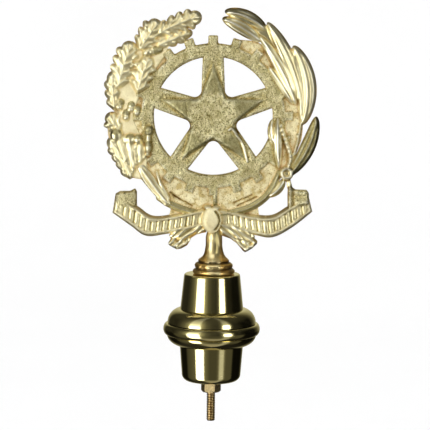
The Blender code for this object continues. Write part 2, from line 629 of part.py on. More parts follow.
def main():
    clear_scene()
    cast = brass("cast_brass", (0.76, 0.60, 0.30), 0.34)
    polished = brass("polished_brass", (0.74, 0.62, 0.34), 0.08)
    nut_brass = brass("nut_brass", (0.78, 0.62, 0.34), 0.3)
    rod_brass = brass("rod_brass", (0.45, 0.34, 0.16), 0.4)
    pieces = [emblem_casting(cast), upper_base_bell(polished), lower_base_cup(polished), hex_nut(nut_brass),
              threaded_rod(rod_brass)]
    for piece in pieces[1:]:
        piece.data.shade_smooth()
        piece.data.set_sharp_from_angle(angle=math.radians(40))


main()
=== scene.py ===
"""Looks of the flagpole finial: the brass casting in full relief, its turned base, the nut and the threaded rod.

The emblem's relief is worked out in millimetres from the centre of the star: u to the right, v up, and
height towards the viewer. The turned profiles, the nut and the rod are in millimetres too, in the part's
own frame. The finished meshes, the light, the backdrop and the camera are in metres.
"""
import math

import bmesh
import bpy
import numpy as np
from mathutils import Matrix, Vector, noise
from mathutils.geometry import delaunay_2d_cdt


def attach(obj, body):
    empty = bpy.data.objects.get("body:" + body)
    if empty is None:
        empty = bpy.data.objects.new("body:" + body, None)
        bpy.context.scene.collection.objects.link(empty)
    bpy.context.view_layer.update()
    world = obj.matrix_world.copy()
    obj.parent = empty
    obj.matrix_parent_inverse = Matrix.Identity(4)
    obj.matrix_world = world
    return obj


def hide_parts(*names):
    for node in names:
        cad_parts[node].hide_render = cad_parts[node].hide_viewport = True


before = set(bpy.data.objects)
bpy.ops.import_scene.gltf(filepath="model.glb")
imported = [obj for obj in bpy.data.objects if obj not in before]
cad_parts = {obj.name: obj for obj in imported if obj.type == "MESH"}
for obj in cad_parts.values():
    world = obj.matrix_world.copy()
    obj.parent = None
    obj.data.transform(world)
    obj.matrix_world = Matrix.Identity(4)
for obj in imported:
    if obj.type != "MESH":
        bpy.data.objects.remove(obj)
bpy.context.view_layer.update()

MM = 0.001
EMBLEM_Z = 153.5 * MM

# Millimetres: the relief's grid, its back and the rim just before it, the collar's shift, and the round parts
PITCH = 0.37
BACK_HEIGHT, BACK_LIP, BACK_TINT = -3.0, 0.35, (0.0, 0.2, 0.12)
STEM_OFFSET = 0.9
BORE, ROD_RADIUS, THREAD_ROOT = 2.8, 2.5, 1.95

# Toothed ring and star
TEETH = 20
RING_INNER, RING_OUTER, TOOTH_TIP = 34.0, 41.5, 46.0
TOOTH_HALF, TOOTH_CORNER = 2.8, 0.9
RING_HEIGHT, STAR_HEIGHT = 2.2, 4.0
STAR_RADIUS, STAR_NOTCH = 31.2, 12.7
SPOKE_ROOT_HALF, SPOKE_END_HALF, SPOKE_FILLET = 6.7, 6.0, 4.0
SPOKE_TIP, SPOKE_SHOULDER = 37.3, 33.5
WHEEL_TURN, WHEEL_OFFSET = math.radians(0.6), 0.3

# Web behind the wreath and bed of the oak spray: angles in degrees, radii in mm
WEB_OUTLINE = [(127, 46), (136, 50), (150, 55), (170, 57), (187, 57), (205, 57), (220, 55), (234, 56),
               (245, 57), (258, 54), (282, 54), (295, 57), (310, 54), (325, 51), (345, 52), (370, 50),
               (400, 49), (420, 49), (431, 46)]
WEB_LOWER_EDGE = [(-23.5, -50), (-25.5, -60), (27, -60), (25.5, -49)]
WEB_HEIGHT, WEB_INNER = 0.2, 36
WEB_LINES = [[(-22.9, -46.0), (-11.9, -51.8)], [(-24.6, -44.4), (-19.0, -48.2)],
             [(12.1, -49.8), (22.5, -45.2)], [(14.0, -51.6), (25.2, -46.2)]]
OAK_BED = [(104, 57, 61.0), (110, 51, 60.5), (117, 49, 59.5), (124, 47, 61.0), (131, 44, 60.5), (138, 43, 60.0),
           (145, 43, 61.5), (152, 43, 61.5), (159, 43, 61.0), (166, 44, 60.5), (173, 45, 57.5), (179, 46, 54.5),
           (184, 46, 61.0), (191, 44, 61.5), (198, 43, 61.0), (205, 44, 60.0), (212, 45, 60.0), (218, 48, 58.5),
           (222, 50, 55.0)]
OAK_BED_HEIGHT = 1.6
LEAF_GAP = [(21.5, 48.0), (24.0, 53.0), (31.5, 52.0), (38.5, 38.0), (44.0, 26.0), (38.0, 28.0), (30.0, 40.0)]

# Leaves: base, tip, width, bow to the left of base-to-tip, crest height, and for an acorn its edge height
OLIVE_LEAVES = [
    ((29.5, 49.5), (5.6, 59.8), 7.6, -2.2, 4.0),
    ((26.5, 43.0), (4.3, 55.8), 8.0, -1.2, 5.0),
    ((50.3, 7.0), (30.0, 53.8), 8.4, -3.0, 4.6),
    ((46.8, 7.0), (25.6, 46.0), 6.6, -2.0, 5.2),
    ((45.0, 7.5), (30.8, 28.8), 4.8, -0.6, 4.2),
    ((50.6, -4.5), (45.0, 40.6), 11.4, -5.0, 4.4),
    ((43.2, -33.8), (58.8, 0.2), 8.5, -3.0, 4.0),
    ((37.6, -29.5), (36.6, -0.6), 5.2, 0.4, 5.2),
    ((37.5, -19.0), (33.6, -1.8), 4.6, 2.2, 4.0),
    ((40.8, -35.4), (31.6, -45.8), 4.8, 1.6, 3.6),
]
# By the olive leaf's number: width of its thick outer rim, and polish and wear where they aren't the usual ones; a
# polish of 0.36 paints a leaf a dark olive shade
OUTER_RIMS = {0: 3.0, 1: 1.8, 2: 2.6, 5: 2.4, 6: 2.0}
OLIVE_POLISH_AND_SHADE = {6: 0.36}
OLIVE_WORN = {2: 0.38, 5: 0.38}
OAK_LEAVES = [
    ((-33.0, 46.4), (-7.4, 57.2), 12.6, 0.8, 4.8),
    ((-34.0, 39.6), (-12.6, 48.0), 8.6, 0.0, 4.2),
    ((-43.2, 36.0), (-31.0, 54.0), 15.0, 0.6, 4.8),
    ((-55.2, 14.0), (-46.6, 42.0), 15.0, 0.8, 4.8),
    ((-43.6, 11.8), (-36.6, 34.4), 13.6, 0.8, 5.4),
    ((-56.4, 2.0), (-58.2, 25.0), 10.0, 0.4, 4.4),
    ((-52.0, -11.0), (-60.0, 1.4), 12.0, 0.6, 4.2),
    ((-46.4, -37.4), (-60.0, -13.0), 11.0, -1.2, 4.4),
    ((-49.4, -28.0), (-55.4, -7.4), 10.0, 0.0, 5.0),
    ((-45.4, -32.0), (-48.4, -11.4), 9.6, 0.0, 4.8),
    ((-42.0, -29.0), (-42.0, -11.6), 8.4, 0.0, 4.4),
]
LOBE_PITCH, LOBE_LEAN, VEIN_LEAN = 5.6, 0.8, 1.5
CROWDED_BELOW = -20

# Acorns and buds, and the share of the length from which one's tip is painted a dark olive shade
SWELLINGS = [
    ((-41.2, 35.2), (-29.2, 38.4), 5.2, 0.0, 4.6, 1.6),
    ((-54.6, 2.8), (-52.6, 9.6), 4.8, 0.0, 4.4, 1.4),
    ((-47.8, 1.8), (-46.8, 8.2), 4.6, 0.0, 4.0, 1.4),
    ((-50.2, -3.4), (-49.8, 3.6), 4.6, 0.0, 4.4, 1.4),
    ((-44.4, -0.4), (-43.2, 5.6), 4.2, 0.0, 3.8, 1.4),
    ((-37.4, -11.4), (-36.8, -5.8), 5.0, 0.0, 5.0, 2.6),
    ((42.2, -35.0), (42.2, -29.0), 6.0, 0.0, 4.4, 1.4),
    ((50.4, -1.6), (50.8, 1.2), 2.6, 0.0, 3.8, 1.6),
    ((48.0, -12.0), (48.4, -9.2), 2.6, 0.0, 3.8, 1.6),
]
SHADED_TIP_FROM = {5: 0.0}

# Stems: middle line, half widths, edge height, crest height, then knobs and polish by the stem's number; a polish
# of 0.3 to 0.4 paints a stem a dark olive shade
STEMS = [
    ([(-30.8, -47.2), (-23.4, -51.5), (-13.0, -55.1), (-2.0, -57.0)], [1.9, 2.1, 2.0, 1.7], 0.8, 3.0),
    ([(37.8, -31.5), (34.6, -40.0), (29.4, -47.0), (21.3, -52.4), (11.0, -55.6), (2.0, -57.0)],
     [1.3, 1.9, 2.1, 2.1, 2.0, 1.7], 0.8, 3.0),
    ([(-26.5, -49.8), (-32.2, -42.8), (-37.6, -35.5), (-41.0, -30.5)], [2.2, 2.9, 3.3, 2.4], 1.0, 3.8),
    ([(-25.2, -47.4), (-28.4, -42.0), (-31.0, -37.0), (-32.4, -32.4)], [0.8, 0.9, 1.0, 0.8], 0.8, 2.6),
    ([(-37.6, -22.0), (-37.6, -16.0), (-37.1, -10.5)], [1.3, 1.5, 1.6], 2.2, 3.8),
    ([(43.0, -31.0), (45.6, -23.0), (48.8, -11.0), (50.4, 0.5)], [1.1, 1.0, 0.9, 0.7], 0.8, 3.0),
    ([(42.6, -30.0), (44.2, -23.0), (41.6, -14.5), (38.4, -4.5)], [1.2, 1.4, 1.3, 1.0], 1.8, 4.0),
    ([(42.4, -34.5), (43.4, -37.6), (44.2, -41.0)], [1.6, 1.3, 1.5], 0.4, 2.0),
    ([(1.3, -43.5), (1.4, -52.5)], [1.5, 1.4], 1.0, 1.9),
]
STEM_KNOBS, KNOB_PITCH = {5: 0.25, 6: 0.6, 8: 0.2}, 2.6
STEM_POLISH_AND_SHADE = {0: 0.4, 1: 0.4, 8: 0.3}
TWIG_BOSSES = [((-55.6, -11.2), (3.4, 3.8)), ((-47.6, -13.4), (2.8, 3.2)), ((-43.2, -13.6), (2.2, 3.0)),
               ((-37.3, -17.8), (2.0, 3.6))]
BRANCH_BOSS, BRANCH_BOSS_RADIUS = (42.0, -32.3), 3.9

# Ribbon: top edge, bottom edge and set-back of the face from the left end to the right end
RIBBON_STATIONS = [
    ((-56.1, -46.2), (-57.6, -56.2), 1.6),
    ((-43.6, -52.4), (-47.4, -63.2), 0.6),
    ((-34.6, -58.0), (-38.2, -69.2), 0.0),
    ((-21.6, -56.8), (-25.8, -67.9), 0.3),
    ((-3.6, -52.8), (-4.6, -64.2), 0.8),
    ((4.6, -53.0), (6.4, -64.0), 0.8),
    ((21.3, -56.2), (24.6, -68.2), 0.3),
    ((33.8, -56.9), (35.0, -69.1), 0.0),
    ((43.6, -51.4), (46.2, -63.2), 0.6),
    ((54.9, -45.4), (57.2, -54.4), 1.6),
]
RIBBON_HEIGHT, RIBBON_RIM, RIBBON_RIM_SHARE = 4.0, 0.48, 0.15
STROKE_PITCH, STROKE_LEAN, STROKE_DEPTH = 3.35, 0.12, 0.6
STROKES_FROM, STROKES_TO = 8.2, 54
FOLD_LEFT = [(-56.0, -45.4), (-55.6, -51.0), (-43.6, -56.0), (-43.7, -44.0), (-44.8, -42.3), (-47.6, -43.8),
             (-53.2, -43.9)]
FOLD_RIGHT = [(42.8, -43.4), (43.0, -54.0), (55.2, -50.0), (55.0, -43.8), (53.8, -42.2), (47.4, -42.0),
              (45.0, -40.4), (43.4, -38.6)]
KNOT_CENTRE, KNOT_RADII = (-0.6, -59.6), (5.7, 7.4)

# Stubs: outline, pits as centre, depth and size, and the lip's two ends
STUBS = [
    ([(-3.0, -60.5), (-3.8, -67.0), (-6.4, -67.3), (-9.2, -68.2), (-12.2, -70.2), (-13.3, -72.4), (-14.6, -74.6),
      (-18.0, -76.4), (-20.7, -76.8), (-24.8, -74.6), (-25.5, -73.7), (-23.9, -71.0), (-24.9, -69.0),
      (-20.0, -64.0)],
     [((-20.6, -71.6), 1.7, 1.5), ((-15.4, -72.4), 0.8, 1.0), ((-23.2, -74.0), 0.9, 0.9)],
     ((-25.0, -73.4), (-20.2, -76.0))),
    ([(3.0, -60.5), (4.4, -68.4), (7.2, -69.4), (10.4, -70.4), (13.8, -72.8), (15.8, -75.2), (17.4, -77.3),
      (18.8, -78.2), (22.9, -75.9), (25.5, -73.2), (25.8, -71.9), (23.7, -70.2), (24.4, -69.4), (20.0, -64.0)],
     [((22.0, -73.9), 1.9, 1.3), ((16.6, -71.4), 0.9, 1.2), ((12.6, -69.0), 0.5, 0.8)],
     ((19.0, -77.4), (25.0, -72.2))),
]

# Camera: sensor width in mm, and the frame, the focal length and the rod's column in pixels
SENSOR, FRAME, FOCAL, AXIS_COLUMN = 36.0, 430, 2450, 212.75


def unit(x):
    return np.clip(x, 0, 1)


def smooth_step(x):
    x = unit(x)
    return x * x * (3 - 2 * x)


def smooth_max(a, b, k):
    h = unit(0.5 + 0.5 * (a - b) / k)
    return b * (1 - h) + a * h + k * h * (1 - h)


def rounded(level, radius):
    """How far a rounded edge lies below the face, by the distance from that edge."""
    x = unit(1 - level / radius)
    return radius * (1 - np.sqrt(1 - x * x))


def bevel(level, width, drop):
    """How far a broad sloping edge lies below the face."""
    return drop * unit(1 - level / width) ** 1.25


def polygon_level(u, v, polygon):
    """Distance to the outline, positive inside it."""
    inside = np.zeros(u.shape, bool)
    nearest = np.full(u.shape, 1e9)
    for k, (x0, y0) in enumerate(polygon):
        x1, y1 = polygon[(k + 1) % len(polygon)]
        dx, dy = x1 - x0, y1 - y0
        t = unit(((u - x0) * dx + (v - y0) * dy) / (dx * dx + dy * dy + 1e-12))
        nearest = np.minimum(nearest, (u - x0 - t * dx) ** 2 + (v - y0 - t * dy) ** 2)
        if dy:
            inside ^= ((y0 > v) != (y1 > v)) & (u < x0 + (v - y0) * dx / dy)
    return np.where(inside, 1, -1) * np.sqrt(nearest)


class Relief:
    """Height map of the front. Level is positive inside the outline, worn is how far a form is rubbed clean of
    the foundry's grain, and smooth is how far it is polished; a smooth value from 0.3 to 0.4 also paints a dark
    olive shade."""

    def __init__(self):
        self.us = np.arange(-64.5, 62.0, PITCH)
        self.vs = np.arange(-80.5, 63.5, PITCH)
        shape = (len(self.vs), len(self.us))
        self.level = np.full(shape, -9.0)
        self.height = np.full(shape, -9.0)
        self.worn = np.zeros(shape)
        self.smooth = np.zeros(shape)

    def window(self, points, margin=1.0):
        points = np.array(points)
        i0, i1 = np.searchsorted(self.vs, [points[:, 1].min() - margin, points[:, 1].max() + margin])
        j0, j1 = np.searchsorted(self.us, [points[:, 0].min() - margin, points[:, 0].max() + margin])
        u, v = np.meshgrid(self.us[j0:j1], self.vs[i0:i1])
        return (slice(i0, i1), slice(j0, j1)), u, v

    def patch(self, outline):
        """The window round a closed outline, and the level in it."""
        part, u, v = self.window(outline)
        return part, u, v, polygon_level(u, v, outline)

    def merge(self, part, level, height, worn=1.0, smooth=0.5):
        on_top = (level > 0) & (height > self.height[part])
        self.level[part] = np.maximum(self.level[part], level)
        self.height[part] = np.where(on_top, height, self.height[part])
        self.worn[part] = np.where(on_top, worn, self.worn[part])
        self.smooth[part] = np.where(on_top, smooth, self.smooth[part])


def polar(radius, angle, side=0.0):
    """Point at a radius and an angle, moved sideways to the left."""
    c, s = math.cos(angle), math.sin(angle)
    return np.array((radius * c - side * s, radius * s + side * c))


def add_wheel(relief):
    """Toothed ring, five spokes and the raised star on them, whose facets fall to the spokes' edges."""
    reach = TOOTH_TIP + 1
    part, u, v = relief.window([(-reach, -reach), (reach, reach)])
    c, s = math.cos(WHEEL_TURN), math.sin(WHEEL_TURN)
    x, y = (u + WHEEL_OFFSET) * c + v * s, -(u + WHEEL_OFFSET) * s + v * c
    r = np.hypot(x, y)
    pitch = math.tau / TEETH
    turn = (np.arctan2(y, x) - math.pi / 2 + pitch / 2) % pitch - pitch / 2
    across, along = np.abs(r * np.sin(turn)), r * np.cos(turn)
    tooth = TOOTH_CORNER - np.hypot(np.maximum(across - TOOTH_HALF + TOOTH_CORNER, 0),
                                    np.maximum(along - TOOTH_TIP + TOOTH_CORNER, 0))
    level = np.minimum(smooth_max(tooth, RING_OUTER - r, 1.0), r - RING_INNER)
    relief.merge(part, level, RING_HEIGHT - bevel(level, 0.9, 1.1), smooth=0.0)

    star, rim = [], []
    step = math.tau / 5
    centre = (SPOKE_ROOT_HALF + SPOKE_FILLET) / math.sin(step / 2)
    for k in range(5):
        a = math.pi / 2 + k * step
        star += [polar(STAR_RADIUS, a), polar(STAR_NOTCH, a + step / 2)]
        rim += [polar(SPOKE_TIP, a, -SPOKE_END_HALF), polar(SPOKE_TIP, a, SPOKE_END_HALF),
                polar(SPOKE_SHOULDER, a, SPOKE_END_HALF)]
        rim += [polar(centre, a + step / 2) + polar(SPOKE_FILLET, a - math.pi / 2 - (math.pi - step) * i / 12)
                for i in range(13)]
        rim.append(polar(SPOKE_SHOULDER, a + step, -SPOKE_END_HALF))
    star_level, spoke_level = polygon_level(x, y, star), polygon_level(x, y, rim)
    spoke = 2.7 - 0.32 * np.clip(spoke_level, 0, 3.2)
    spoke += (RING_HEIGHT - spoke) * smooth_step((r - 30) / 3.5)
    plate = STAR_HEIGHT - 1.3 * unit((r - 16) / 15) ** 1.3 - 0.9 * unit(1 - star_level / 1.5)
    height = np.where(star_level > 0, np.maximum(plate, spoke), spoke)
    # Painted shade: the star's arms, out from its middle, get a smooth value up to 0.34, which paints them a darker
    # olive
    arm = smooth_step((r - 11) / 6) * smooth_step(star_level / 0.5)
    relief.merge(part, spoke_level, height - bevel(spoke_level, 0.9, 1.2), smooth=0.24 * arm + 0.1)


def add_web(relief):
    """Recessed plate between ring and wreath, with its lower edge, and the raised bed of the oak spray."""
    part, u, v = relief.window([(-64, -62), (60, 62)])
    r = np.hypot(u, v)
    angle = np.degrees(np.arctan2(v, u)) % 360
    from_left = np.where(angle < WEB_OUTLINE[0][0], angle + 360, angle)
    table = np.array(WEB_OUTLINE, float)
    ends = np.minimum(from_left - table[0, 0], table[-1, 0] - from_left) * np.radians(r)
    level = np.minimum(np.interp(from_left, table[:, 0], table[:, 1]) - r, np.minimum(r - WEB_INNER, ends))
    dish = WEB_HEIGHT + 0.7 * np.sin(u * 0.21 + 1.0) * np.sin(v * 0.19) + 0.3 * np.sin(u * 0.6) * np.sin(v * 0.55)
    for level in (level, polygon_level(u, v, WEB_LOWER_EDGE)):
        relief.merge(part, level, dish - rounded(level, 0.5), worn=0.0, smooth=0.0)
    bed = np.array(OAK_BED, float)
    inside, outside = (np.interp(angle, bed[:, 0], bed[:, k]) for k in (1, 2))
    ends = np.minimum(angle - bed[0, 0], bed[-1, 0] - angle) * np.radians(r)
    level = np.minimum(np.minimum(outside - r, r - inside), ends)
    slope = unit(1 - (outside - r) / 1.5)
    relief.merge(part, level, OAK_BED_HEIGHT * (1 - slope) - rounded(level, 0.4), worn=0.0, smooth=0.5)
    level = polygon_level(u, v, LEAF_GAP)
    relief.merge(part, level, OAK_BED_HEIGHT - rounded(level, 0.4), worn=0.6)


def leaf_axis(form):
    """Base, direction from base to tip, and length."""
    (bx, by), (tx, ty) = form[:2]
    length = math.hypot(tx - bx, ty - by)
    return bx, by, (tx - bx) / length, (ty - by) / length, length


def bowed_frame(u, v, form):
    """Share of the length, and the signed distance to the left of the bowed middle line."""
    bx, by, ex, ey, length = leaf_axis(form)
    x, y = (u - bx) * ex + (v - by) * ey, -(u - bx) * ey + (v - by) * ex
    t = unit(x / length)
    slope = 4 * form[3] * (1 - 2 * t) / length
    return x / length, (y - 4 * form[3] * t * (1 - t)) / np.sqrt(1 + slope * slope)


def bowed_point(form, t, off, forward):
    bx, by, ex, ey, length = leaf_axis(form)
    slope = 4 * form[3] * (1 - 2 * t) / length
    scale = math.sqrt(1 + slope * slope)
    x = t * length + (forward - slope * off) / scale
    y = 4 * form[3] * t * (1 - t) + (off + slope * forward) / scale
    return bx + x * ex - y * ey, by + x * ey + y * ex


def leaf_half(form, t, blunt):
    t = unit(t)
    return form[2] / 2 * (blunt * np.sqrt(1 - (2 * t - 1) ** 8) + (1 - blunt) * np.sin(math.pi * t) ** 0.6)


def leaf_sides(form, ts, halves, lean=0.0):
    """Outline from half widths. Its points lie forward by the lean, as a share of them that fades to the tip."""
    left, right = ([bowed_point(form, t, side * h, h * lean * (1 - t)) for t, h in zip(ts, halves)]
                   for side in (1, -1))
    return left + right[-2:0:-1]


def leaf_outline(form, blunt):
    ts = (1 - np.cos(np.linspace(0, math.pi, 40))) / 2
    return leaf_sides(form, ts, leaf_half(form, ts, blunt))


def add_olive_leaf(relief, form, outer, worn, smooth):
    """Long blunt leaf: a fine midrib with a shallow channel on each side of it, and a steep thick rim, which
    is as wide as outer on the side away from the star."""
    part, u, v, level = relief.patch(leaf_outline(form, 0.2))
    t, off = bowed_frame(u, v, form)
    half = np.maximum(leaf_half(form, t, 0.2), 0.5)
    swell = np.sin(math.pi * unit(t)) ** 0.5
    s = unit(np.abs(off) / half)
    along = smooth_step((t - 0.02) / 0.12) * smooth_step((0.97 - t) / 0.1)
    height = form[4] - 0.22 * half * s - 0.9 * (1 - swell)
    height -= 0.75 * np.exp(-((s - 0.36) / 0.2) ** 2) * along
    height += 0.35 * np.exp(-(off / 0.6) ** 2) * along
    if outer:
        height -= 0.85 * outer * unit(1 - (half + off) / outer) ** 1.4
    relief.merge(part, level, height - bevel(level, 1.35, 1.6), worn, smooth)


def add_swelling(relief, form, shaded_tip_from):
    """Acorn: a smooth egg with the edge of its cup at its lower third, painted a dark olive shade towards its tip.
    """
    crest, edge = form[4:]
    part, u, v, level = relief.patch(leaf_outline(form, 0.6))
    t, off = bowed_frame(u, v, form)
    half = np.maximum(leaf_half(form, t, 0.6), 0.3)
    dome = np.sqrt(unit(1 - (off / half) ** 2)) * np.sqrt(unit(1 - (2 * t - 1) ** 4))
    height = edge - 0.6 + (crest - edge) * dome
    height += 0.35 * smooth_step((0.42 - t) / 0.06) - 0.3 * np.exp(-((t - 0.46) * leaf_axis(form)[-1] / 0.35) ** 2)
    relief.merge(part, level, height - rounded(level, 0.4), 0.7, np.where(t > shaded_tip_from, 0.38, 0.6))


def add_oak_leaf(relief, form):
    """Lobed leaf with a raised midrib and raised side veins that lean towards the tip, and cupped cells between.
    In the crowded lower group the notches are shallower, and fingers along the leaf take the side veins' place."""
    width, crest = form[2], form[4]
    length = leaf_axis(form)[-1]
    spaces = round(length / LOBE_PITCH)
    crowded = form[0][1] < CROWDED_BELOW
    notch = 0.18 if crowded else 0.34

    def reach(tau):
        place = unit(tau) * spaces
        fullness = 0.8 + 0.2 * np.sin(math.pi * np.clip(np.floor(place) + 0.5, 0, spaces) / spaces)
        lobes = fullness * (1 - notch + notch * np.abs(np.sin(math.pi * place)) ** 0.6)
        start = 0.3 + 0.7 * smooth_step(place / 0.3)
        last = 0.66 * np.sqrt(unit(1 - (place - spaces + 1) ** 2.4))
        return width / 2 * np.where(place < spaces - 1, lobes * start, last)

    taus = np.linspace(0, 1, 14 * spaces + 1)
    part, u, v, level = relief.patch(leaf_sides(form, taus, reach(taus), LOBE_LEAN))
    t, off = bowed_frame(u, v, form)
    lean = np.abs(off) * LOBE_LEAN / length
    tau = unit((t - lean) / np.maximum(1 - lean, 0.2))
    s = unit(np.abs(off) / np.maximum(reach(tau), 0.5))
    if crowded:
        fingers = np.cos(math.tau * off / (3.0 + 1.6 * t) + 0.5 * np.sin(t * length * 0.35))
        vein = unit(0.5 + 0.5 * fingers + 0.25 * np.sin(t * length * 0.8 + off))
    else:
        wander = 0.12 * np.sin(u * 0.9 + form[0][0]) + 0.1 * np.sin(v * 1.1 + form[1][1])
        place = (t * length - np.abs(off) * VEIN_LEAN) / LOBE_PITCH + wander + 0.25 * (off > 0)
        vein = np.exp(-(np.abs((place % 1.0) - 0.5) / 0.15) ** 2) * smooth_step(s / 0.15)
    rib = np.exp(-(off / 0.5) ** 2) * smooth_step((1.04 - t) / 0.2)
    lobe = np.abs(np.sin(math.pi * tau * spaces))
    height = crest - 1.4 - 0.5 * s ** 2 - 0.7 * (1 - lobe) * s ** 3 - unit((t - 0.8) / 0.2) ** 2
    height += 1.15 * np.maximum(vein * (1 - 0.4 * s), rib)
    relief.merge(part, level, height - bevel(level, 1.5, 1.7), worn=0.36, smooth=0.7)


def smooth_line(points, values, parts=6):
    """Catmull-Rom curve through the points, with the values carried along."""
    data = np.column_stack([points, values])
    data = np.vstack([2 * data[0] - data[1], data, 2 * data[-1] - data[-2]])
    line = []
    for k in range(1, len(data) - 2):
        p0, p1, p2, p3 = data[k - 1:k + 3]
        for t in np.arange(parts) / parts:
            line.append(0.5 * (2 * p1 + (p2 - p0) * t + (2 * p0 - 5 * p1 + 4 * p2 - p3) * t ** 2
                               + (3 * p1 - p0 - 3 * p2 + p3) * t ** 3))
    line.append(data[-2])
    return np.array(line)


def stem_frame(u, v, line):
    """Best level, cross position and length along a line of points and half widths."""
    level, cross, along = np.full(u.shape, -99.0), np.ones(u.shape), np.zeros(u.shape)
    run = 0.0
    for (x0, y0, r0), (x1, y1, r1) in zip(line, line[1:]):
        dx, dy = x1 - x0, y1 - y0
        length = math.hypot(dx, dy)
        t = unit(((u - x0) * dx + (v - y0) * dy) / length ** 2)
        distance = np.hypot(u - x0 - t * dx, v - y0 - t * dy)
        half = r0 + (r1 - r0) * t
        better = half - distance > level
        level = np.where(better, half - distance, level)
        cross = np.where(better, distance / half, cross)
        along = np.where(better, run + t * length, along)
        run += length
    return level, unit(cross), along


def add_stem(relief, stem, knobs, smooth):
    """Round stem with strands along it where it is thick, or with knobs where it is twisted."""
    points, halves, edge, crest = stem
    line = smooth_line(points, halves)
    part, u, v = relief.window(line[:, :2], margin=6.0)
    level, cross, along = stem_frame(u, v, line)
    height = edge + (crest - edge) * np.sqrt(1 - cross ** 2)
    height += knobs * np.cos(math.tau * along / KNOB_PITCH)
    if max(halves) > 2 and not knobs:
        height -= 1.1 * np.exp(-((cross - 0.42) / 0.17) ** 2)
    relief.merge(part, level, height - rounded(level, 0.3), 0.8, smooth)


def ribbon_frame(u, v):
    """Place along the ribbon and the share of its height from its top edge, with its set-back there."""
    tops, bottoms, set_backs = zip(*RIBBON_STATIONS)
    top, bottom = smooth_line(tops, set_backs), smooth_line(bottoms, set_backs)
    place = np.linspace(0, len(RIBBON_STATIONS) - 1, len(top))
    lean = top[:, 0] - bottom[:, 0]
    share = np.full(u.shape, 0.5)
    along = np.interp(u, top[:, 0], place)
    for _ in range(8):
        along = np.interp(u + np.interp(along, place, lean) * share, top[:, 0], place)
        upper, lower = np.interp(along, place, top[:, 1]), np.interp(along, place, bottom[:, 1])
        share = (upper - v) / (upper - lower)
    return along, share, np.interp(along, place, top[:, 2]), np.vstack([top, bottom[::-1]])[:, :2]


def add_ribbon(relief):
    """Bent band with raised rims and a row of shallow strokes in each half, and its folded ends."""
    part, u, v = relief.window([(-59, -72), (59, -44)])
    along, share, set_back, outline = ribbon_frame(u, v)
    level = polygon_level(u, v, outline)
    centred = np.abs(share - 0.5)
    rim = np.exp(-((centred - 0.5 + RIBBON_RIM_SHARE) / 0.04) ** 2)
    field = smooth_step((0.5 - RIBBON_RIM_SHARE - centred) / 0.05)
    height = RIBBON_HEIGHT - set_back + RIBBON_RIM * rim - 0.35 * field
    height += 0.35 * np.sin(along * 2.1) - 1.2 * (share - 0.45) ** 2
    height -= 1.5 * unit(1 - share / 0.14) ** 1.3
    run = (np.abs(u) + STROKE_LEAN * (v + 60)) / STROKE_PITCH
    wide = np.where(np.floor(run) % 3 == 1, 0.24, 0.17)
    tall = np.where(np.floor(run) % 4 == 2, 0.25, 0.30)
    stroke = smooth_step((wide - np.abs(run % 1 - 0.5)) / 0.11) * smooth_step((tall - centred) / 0.04)
    stroke *= (np.abs(u) > STROKES_FROM) & (np.abs(u) < STROKES_TO)
    height -= STROKE_DEPTH * stroke
    # Painted shade: the strokes take the worn tone and a smooth value of 0.36, which paints them dark olive
    relief.merge(part, level, height - bevel(level, 1.3, 1.5), 0.35 + 0.65 * stroke, 0.5 - 0.14 * stroke)

    part, u, v, level = relief.patch(FOLD_LEFT)
    height = 1.7 + 1.5 * np.sin(math.pi * unit((u + 58.5) / 16)) - 0.7 * unit((v + 46.5) / 4)
    relief.merge(part, level, height - bevel(level, 1.0, 1.3), worn=0.8, smooth=0.08)
    part, u, v, level = relief.patch(FOLD_RIGHT)
    height = 2.2 + 1.5 * np.exp(-((u - 44.1) / 1.0) ** 2) - 0.9 * np.exp(-((u - 46.4) / 0.6) ** 2)
    height += 0.06 * (u - 46) + 0.5 * np.sin((v + 44) * 0.9)
    relief.merge(part, level, height - bevel(level, 1.0, 1.3), worn=0.8, smooth=0.08)


def add_boss(relief, centre, radii, base, rise, worn=0.8, power=2.0, cap=0.5):
    """Smooth oval swelling, whose upper part takes the smooth value cap; from 0.3 to 0.4 that paints it a dark
    olive shade.
    """
    cu, cv = centre
    part, u, v = relief.window([(cu - radii[0], cv - radii[1]), (cu + radii[0], cv + radii[1])])
    q = np.sqrt(((u - cu) / radii[0]) ** 2 + ((v - cv) / radii[1]) ** 2)
    level = (1 - q) * min(radii)
    height = base + rise * unit(1 - q ** power) ** 0.5
    relief.merge(part, level, height, worn, np.where(v - cv > 0.1 * radii[1], cap, 0.5))


def add_knot(relief):
    """Binding of the ribbon: one broad turn with a crease on its right painted as a dark crescent of shade, and two
    small folds above it.
    """
    (cu, cv), (ru, rv) = KNOT_CENTRE, KNOT_RADII
    add_boss(relief, KNOT_CENTRE, KNOT_RADII, 4.0, 2.4, worn=0.1, power=3.4)
    part, u, v = relief.window([(-8, -68), (7, -51)])
    q = np.hypot((u - cu) / ru, (v - cv) / rv)
    crease = np.exp(-((q - 0.78) / 0.09) ** 2) * smooth_step((u - 0.2) / 2.0)
    relief.height[part] -= 1.9 * crease
    # Painted shade: the crease takes the worn tone and a smooth value of 0.34, a dark olive
    relief.worn[part] = np.where(crease > 0.3, 1.0, relief.worn[part])
    relief.smooth[part] = np.where(crease > 0.3, 0.34, relief.smooth[part])
    for centre in ((-2.9, -52.4), (1.9, -52.6)):
        add_boss(relief, centre, (2.3, 1.4), 3.0, 1.8, worn=0.9, power=2.4)


